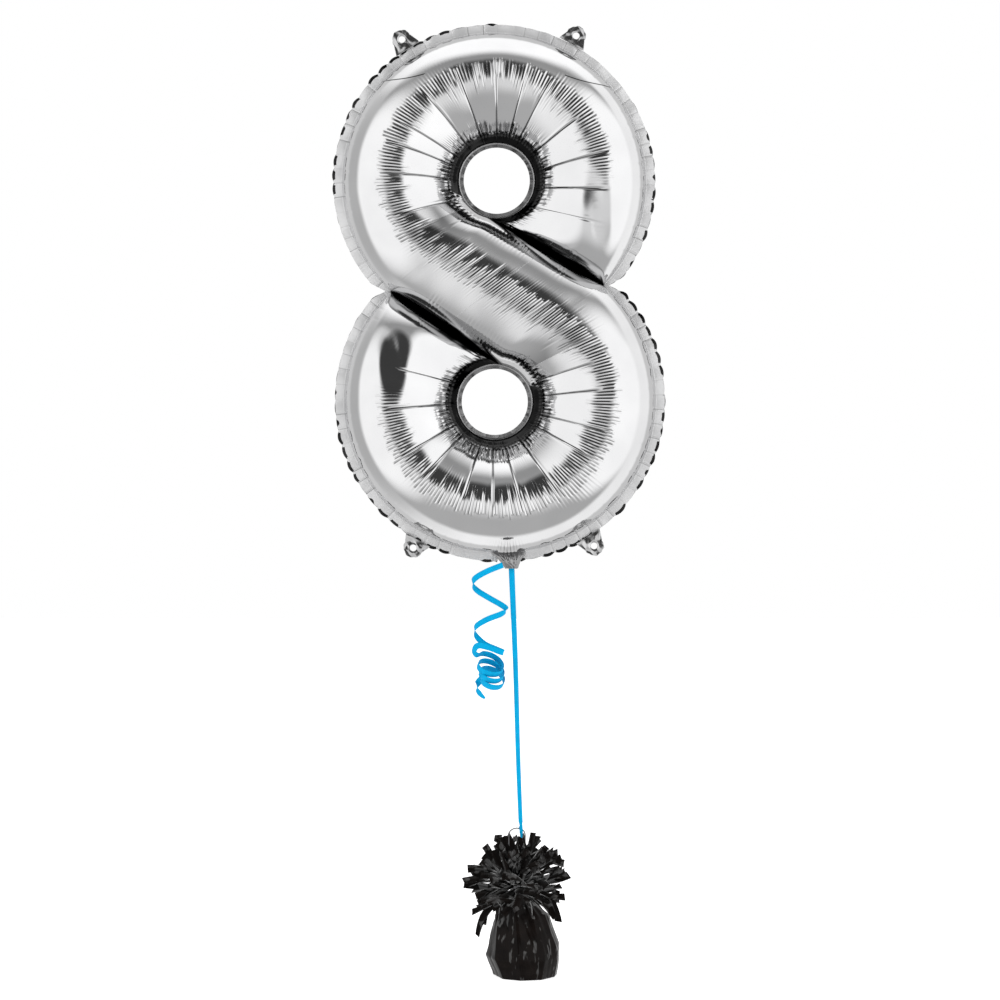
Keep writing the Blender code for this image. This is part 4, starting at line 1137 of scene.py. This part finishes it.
def wrap_piece():
    """The black foil bag: flat facets round a heavy base, drawn up in deepening folds to its mouth."""
    rows, turns = 72, 288
    rng = np.random.default_rng(21)

    def per_corner(middle, less, more):
        return middle + rng.uniform(-less, more, WRAP_FACETS)

    count = np.arange(WRAP_FACETS)
    corners = np.sort(count + per_corner(0.0, 0.22, 0.22)) * 2 * np.pi / WRAP_FACETS
    corners = corners - corners[0] - math.radians(97)
    belt = per_corner(0.037, 0.011, 0.011)
    wide = per_corner(0.0585, 0.0020, 0.0010)
    base = per_corner(0.0485, 0.0020, 0.0020)
    shoulder = per_corner(0.094, 0.006, 0.005)
    upper = 0.0405 + 0.0075 * np.cos(corners)
    theta = np.linspace(0, 2 * np.pi, turns, endpoint=False)
    points = []
    for z in WRAP_TOP_Z * np.linspace(0, 1, rows):
        reach = np.array([
            np.interp(z, [0, belt[i], shoulder[i], 0.110, 0.117, WRAP_TOP_Z],
                      [base[i], wide[i], upper[i], 0.0300, 0.0215, 0.0145]) for i in count])
        ring = corners + 0.30 * (z / 0.12) * np.sin(count * 2.1)
        ring = np.append(ring, ring[0] + 2 * np.pi)
        at = (theta - ring[0]) % (2 * np.pi) + ring[0]
        seg = np.clip(np.searchsorted(ring, at, side="right") - 1, 0, WRAP_FACETS - 1)
        a, b = reach[seg], reach[(seg + 1) % WRAP_FACETS]
        before, after = at - ring[seg], ring[seg + 1] - at
        # distance to the straight line between two corners
        r = 0.0004 + a * b * np.sin(before + after) / (a * np.sin(before) + b * np.sin(after))
        tall = 0.16 + 0.84 * smooth_step((z - 0.060) / 0.050)
        pleat = saw(theta * 17 / (2 * np.pi) + 0.5 * wave_noise(theta * 2.2 + z * 6, 33, 2))
        r = r + 0.0034 * tall * pleat * (0.6 + 0.4 * wave_noise(theta * 1.6, 35, 1))
        r = r + 0.0004 * wave_noise(theta * 5 + 20 * z, 36, 3) * smooth_step(z / 0.02)
        film = np.stack([theta * 0.05, np.full(turns, z)], -1)
        r = r + 0.0009 * plane_noise(film, 37, 0.022) * smooth_step(z / 0.015)
        r = r + 0.0016 * plane_noise(film + [0.5, 0.0], 38, 0.009) * smooth_step((z - 0.070) / 0.02)
        r = np.minimum(r, WRAP_LIMIT_R)
        shift = HOOK_X * smooth_step(z / 0.120)
        lift = 0.0025 * wave_noise(theta * 2.5, 39, 2) * smooth_step((z - 0.11) / 0.01)
        points.append(np.stack([shift + r * np.cos(theta), r * np.sin(theta), z + lift], -1))
    middle = rows * turns
    points = np.concatenate([*points, np.zeros((1, 3))])
    faces = tube_faces(rows, turns) + [((k + 1) % turns, k, middle) for k in range(turns)]
    mesh = make_mesh("wrapped_weight", points, faces, BLACK_FILM)
    film_piece(mesh, 0.0003, -1.0, "weight", "black_foil", "foil_wrap")


def strip_path(rng, azimuth, rise, length, droop, root_z):
    """Centre line of one fringe strip, with a bend or two on its way out. Angles are in radians."""
    at = np.array([HOOK_X + 0.0072 * math.cos(azimuth), 0.0072 * math.sin(azimuth), root_z])
    path, tilt, swing = [at], rise, azimuth
    bend_at, bend = rng.integers(4, 11), rng.uniform(-0.8, 0.8) * (rng.random() < 0.5)
    curve = rng.uniform(-0.07, 0.07) + 0.15 * rng.choice((-1, 1)) * math.sin(azimuth)**2
    for k in range(FRINGE_STEPS):
        tilt += droop / FRINGE_STEPS + (bend if k == bend_at else 0.0) + rng.uniform(-0.05, 0.05)
        swing += curve * (k > 3) + rng.uniform(-0.05, 0.05)
        way = np.array([math.cos(tilt) * math.cos(swing), math.cos(tilt) * math.sin(swing), math.sin(tilt)])
        at = at + way * length / FRINGE_STEPS
        path.append(at)
    return np.array(path)


def has_room(points):
    """False if any point is where the hook swings, inside the wrap or beyond the tuft's outline."""
    x, y, z = points[..., 0] - HOOK_X, points[..., 1], points[..., 2]
    beside = np.abs(x) < 0.0165
    sweep = beside & (z > HOOK_PIVOT_Z - 0.001) & (np.abs(y) < 0.50 * (z - HOOK_PIVOT_Z) + 0.0035)
    eye = beside & (z > 0.153) & (z < 0.167) & (np.abs(y) < 0.0035)
    wrap_r = np.interp(z, [0.05, 0.10, 0.115, 0.125], [0.062, 0.045, 0.028, 0.012])
    inside = (np.hypot(x, y) < wrap_r) & (z < 0.125)
    beyond = (np.abs(y) >= FRINGE_HALF_DEPTH) | (z >= FRINGE_TOP_Z)
    return not (sweep | eye | inside | beyond).any()


def strip_grid(rng, path, width, roll):
    """Two cells across, creased along the middle, with a square, slant or notched end."""
    along = unit(np.gradient(path, axis=0))
    flat = unit(np.cross(along, np.array([0.0, 0.0, 1.0])))
    turn = roll[0] + (roll[1] - roll[0]) * np.linspace(0, 1, len(path))[:, None]**1.3
    across = flat * np.cos(turn) + np.cross(flat, along) * np.sin(turn)
    wide = width / 2 * np.clip(np.linspace(0.35, 3.0, len(path)), 0, 1)[:, None]
    camber = rng.uniform(-0.0012, 0.0012)
    grid = np.stack([path - across * wide, path + np.cross(along, across) * camber, path + across * wide], 1)
    slant = rng.uniform(-0.3, 0.3) * width / 2
    notch = 0.35 * width if rng.random() < 0.12 else 0.0
    grid[-1] += np.outer([slant, -notch, -slant], along[-1])
    return grid


def drawn_strip(rng, level, k):
    """One strip of a sheet, drawn again until it has room, or None."""
    root, count, rises, lengths = FRINGE_SHEETS[level]
    for _ in range(60):
        azimuth = 2 * np.pi * (k + rng.uniform(-0.4, 0.4)) / count + 0.35 * level
        rise = math.radians(rng.uniform(*rises))
        length = rng.uniform(*lengths) * STRETCHED.get((level, k), 1.0)
        droop = math.radians(rng.uniform(-38, 22))
        if level == 4 and k < 14:
            # close in front of and behind the hook, clear of its swing
            azimuth = math.radians((-90, 90)[k % 2] + rng.uniform(-38, 38))
            rise, droop = math.radians(rng.uniform(50, 63)), math.radians(rng.uniform(-14, 2))
            length = rng.uniform(0.066, 0.080)
        path = strip_path(rng, azimuth, rise, length, droop, root + rng.uniform(-0.002, 0.002))
        width = rng.uniform(0.0104, 0.0124)
        roll = rng.uniform(-0.7, 0.7), rng.uniform(0.7, 1.6) * rng.choice((-1, 1))
        grid = strip_grid(rng, path, width, roll)
        if has_room(grid):
            return grid
    return None


def fringe_pieces():
    """The tuft: five sheets, each cut into strips that stand out all round the stem."""
    rng = np.random.default_rng(58)
    for level, (root, count, _, _) in enumerate(FRINGE_SHEETS):
        drawn = [drawn_strip(rng, level, k) for k in range(count)]
        grids = [grid for grid in drawn if grid is not None]
        for azimuth, rise, length, droop, width in LONG_STRIPS[level]:
            azimuth, rise, droop = (math.radians(angle) for angle in (azimuth, rise, droop))
            path = strip_path(rng, azimuth, rise, length, droop, root)
            grids.append(strip_grid(rng, path, width, (0.5, 1.45)))
        rows, cols = grids[0].shape[:2]
        faces = [face for k in range(len(grids)) for face in grid_faces(rows, cols, k * rows * cols)]
        mesh = make_mesh("fringe_sheet_%d" % (level + 1), grids, faces, FRINGE_FILM)
        film_piece(mesh, 0.0002, 0.0, "weight", "black_foil", "fringe_tier_%d" % (level + 1))


# ---- studio, floor and camera

# The studio's brightness, in directions seen from the camera: x right, y up, z ahead
ROOM_TONE = 0.72
TOP_TONE = 0.30
BOTTOM_TONE = 0.42
BACK_TONE = 0.92
BACK_LEFT_TONE = 0.45
SECOND_BOUNCE = 0.60
# direction, inner and outer half angle in degrees, tone
SIDE_BOXES = (((-0.86, 0.02, -0.5), 30, 52, 0.98), ((0.86, 0.05, -0.5), 34, 50, 1.05))
# above, at the camera, and behind the object
PATCHES = (
    ((0.0, 0.9, 0.2), 24, 48, 1.10), ((0.0, 0.40, -1.0), 15, 29, 0.045), ((0.0, 0.0, 1.0), 53, 62, 0.60))
# name, place, size and power in watts
LAMPS = (("key", (-2.4, -2.0, 3.0), 2.0, 60.0), ("fill", (2.6, -2.2, 1.8), 2.0, 35.0))
LAMP_AIM = Vector((0, 0, 0.7))
FLOOR_HALF = 12.0
FLOOR_DROP = 0.0005
FLOOR_GLOW = 0.6
CAMERA_X = -0.038
CAMERA_Z = 0.726
CAMERA_DISTANCE = 4.0
SENSOR_MM = 36.0
FRAME_ROOM = 1.0519


def build_world():
    """A pale studio: soft boxes left and right, a darker patch at the camera and dark cloth far behind."""
    world = bpy.data.worlds.new("studio")
    bpy.context.scene.world = world
    world.use_nodes = True
    tree = world.node_tree
    tree.nodes.clear()
    ray = add_node(tree, "TexCoord").outputs["Generated"]
    to_camera = {"vector_type": "VECTOR", "convert_from": "WORLD", "convert_to": "CAMERA"}
    turn = add_node(tree, "VectorTransform", {0: ray}, **to_camera)
    seen = add_node(tree, "SeparateXYZ", {0: turn.outputs[0]})
    right, rise, ahead = (seen.outputs[axis] for axis in "XYZ")

    def with_cone(light, direction, inner, outer, tone):
        """The light with another tone inside a cone round a direction."""
        x, y, z = Vector(direction).normalized()
        dot = calc("ADD", calc("MULTIPLY", right, x), calc("MULTIPLY", rise, y))
        dot = calc("ADD", dot, calc("MULTIPLY", ahead, z))
        inside = ease(dot, math.cos(math.radians(outer)), math.cos(math.radians(inner)))
        return mix(light, inside, tone)

    light = mix(ROOM_TONE, ease(rise, 0.25, 0.75), TOP_TONE)
    light = mix(light, ease(rise, -0.25, -0.7), BOTTOM_TONE)
    for box in SIDE_BOXES:
        light = with_cone(light, *box)
    back = mix(BACK_TONE, ease(right, -0.2, -0.9), BACK_LEFT_TONE)
    light = mix(light, ease(ahead, -0.12, 0.10), back)
    for patch in PATCHES:
        light = with_cone(light, *patch)
    path = add_node(tree, "LightPath").outputs
    light = mix(light, ease(path["Ray Depth"], 2.2, 2.8), calc("MULTIPLY", light, SECOND_BOUNCE))
    room = add_node(tree, "Background", {"Color": light})
    white = add_node(tree, "Background", {"Color": (1, 1, 1, 1)})
    inputs = {0: path["Is Camera Ray"], 1: room.outputs[0], 2: white.outputs[0]}
    add_node(tree, "OutputWorld", {"Surface": add_node(tree, "MixShader", inputs).outputs[0]})


def build_floor():
    mat, _, shader = new_material("floor")
    shader.inputs["Base Color"].default_value = (0.93, 0.93, 0.93, 1)
    shader.inputs["Roughness"].default_value = 0.8
    shader.inputs["Emission Color"].default_value = (1, 1, 1, 1)
    shader.inputs["Emission Strength"].default_value = FLOOR_GLOW
    corners = [(x * FLOOR_HALF, y * FLOOR_HALF, 0) for x, y in ((-1, -1), (1, -1), (1, 1), (-1, 1))]
    floor = put_in_scene("floor", make_mesh("floor", corners, [(0, 1, 2, 3)], mat))
    floor.location.z = -FLOOR_DROP
    floor.visible_glossy = False


def build_camera():
    data = bpy.data.cameras.new("camera")
    low, high = CAD_BOX
    data.sensor_width = SENSOR_MM
    data.lens = SENSOR_MM * CAMERA_DISTANCE / ((high.z - low.z) * FRAME_ROOM)
    camera = put_in_scene("camera", data)
    camera.location = (CAMERA_X, -CAMERA_DISTANCE, CAMERA_Z)
    camera.rotation_euler = (math.pi / 2, 0, 0)
    bpy.context.scene.camera = camera
    bpy.context.scene.view_settings.view_transform = "Standard"


def build_lamps():
    for name, place, size, power in LAMPS:
        light = bpy.data.lights.new(name, "AREA")
        light.size = size
        light.energy = power
        lamp = put_in_scene(name, light)
        lamp.visible_glossy = False
        lamp.location = place
        lamp.rotation_euler = (LAMP_AIM - Vector(place)).to_track_quat("-Z", "Y").to_euler()


build_bag("front_foil", -1.0, "front_foil_panel")
build_bag("back_foil", 1.0, "back_foil_panel")
for ear in EARS:
    ear_piece(*ear)
neck_piece()
build_tether()
build_curl()
build_knots()
wrap_piece()
fringe_pieces()
for cad_node, finish in FINISHES.items():
    for cad_slot in frame["nodes"][cad_node].material_slots:
        cad_slot.material = finish
build_world()
build_floor()
build_camera()
build_lamps()
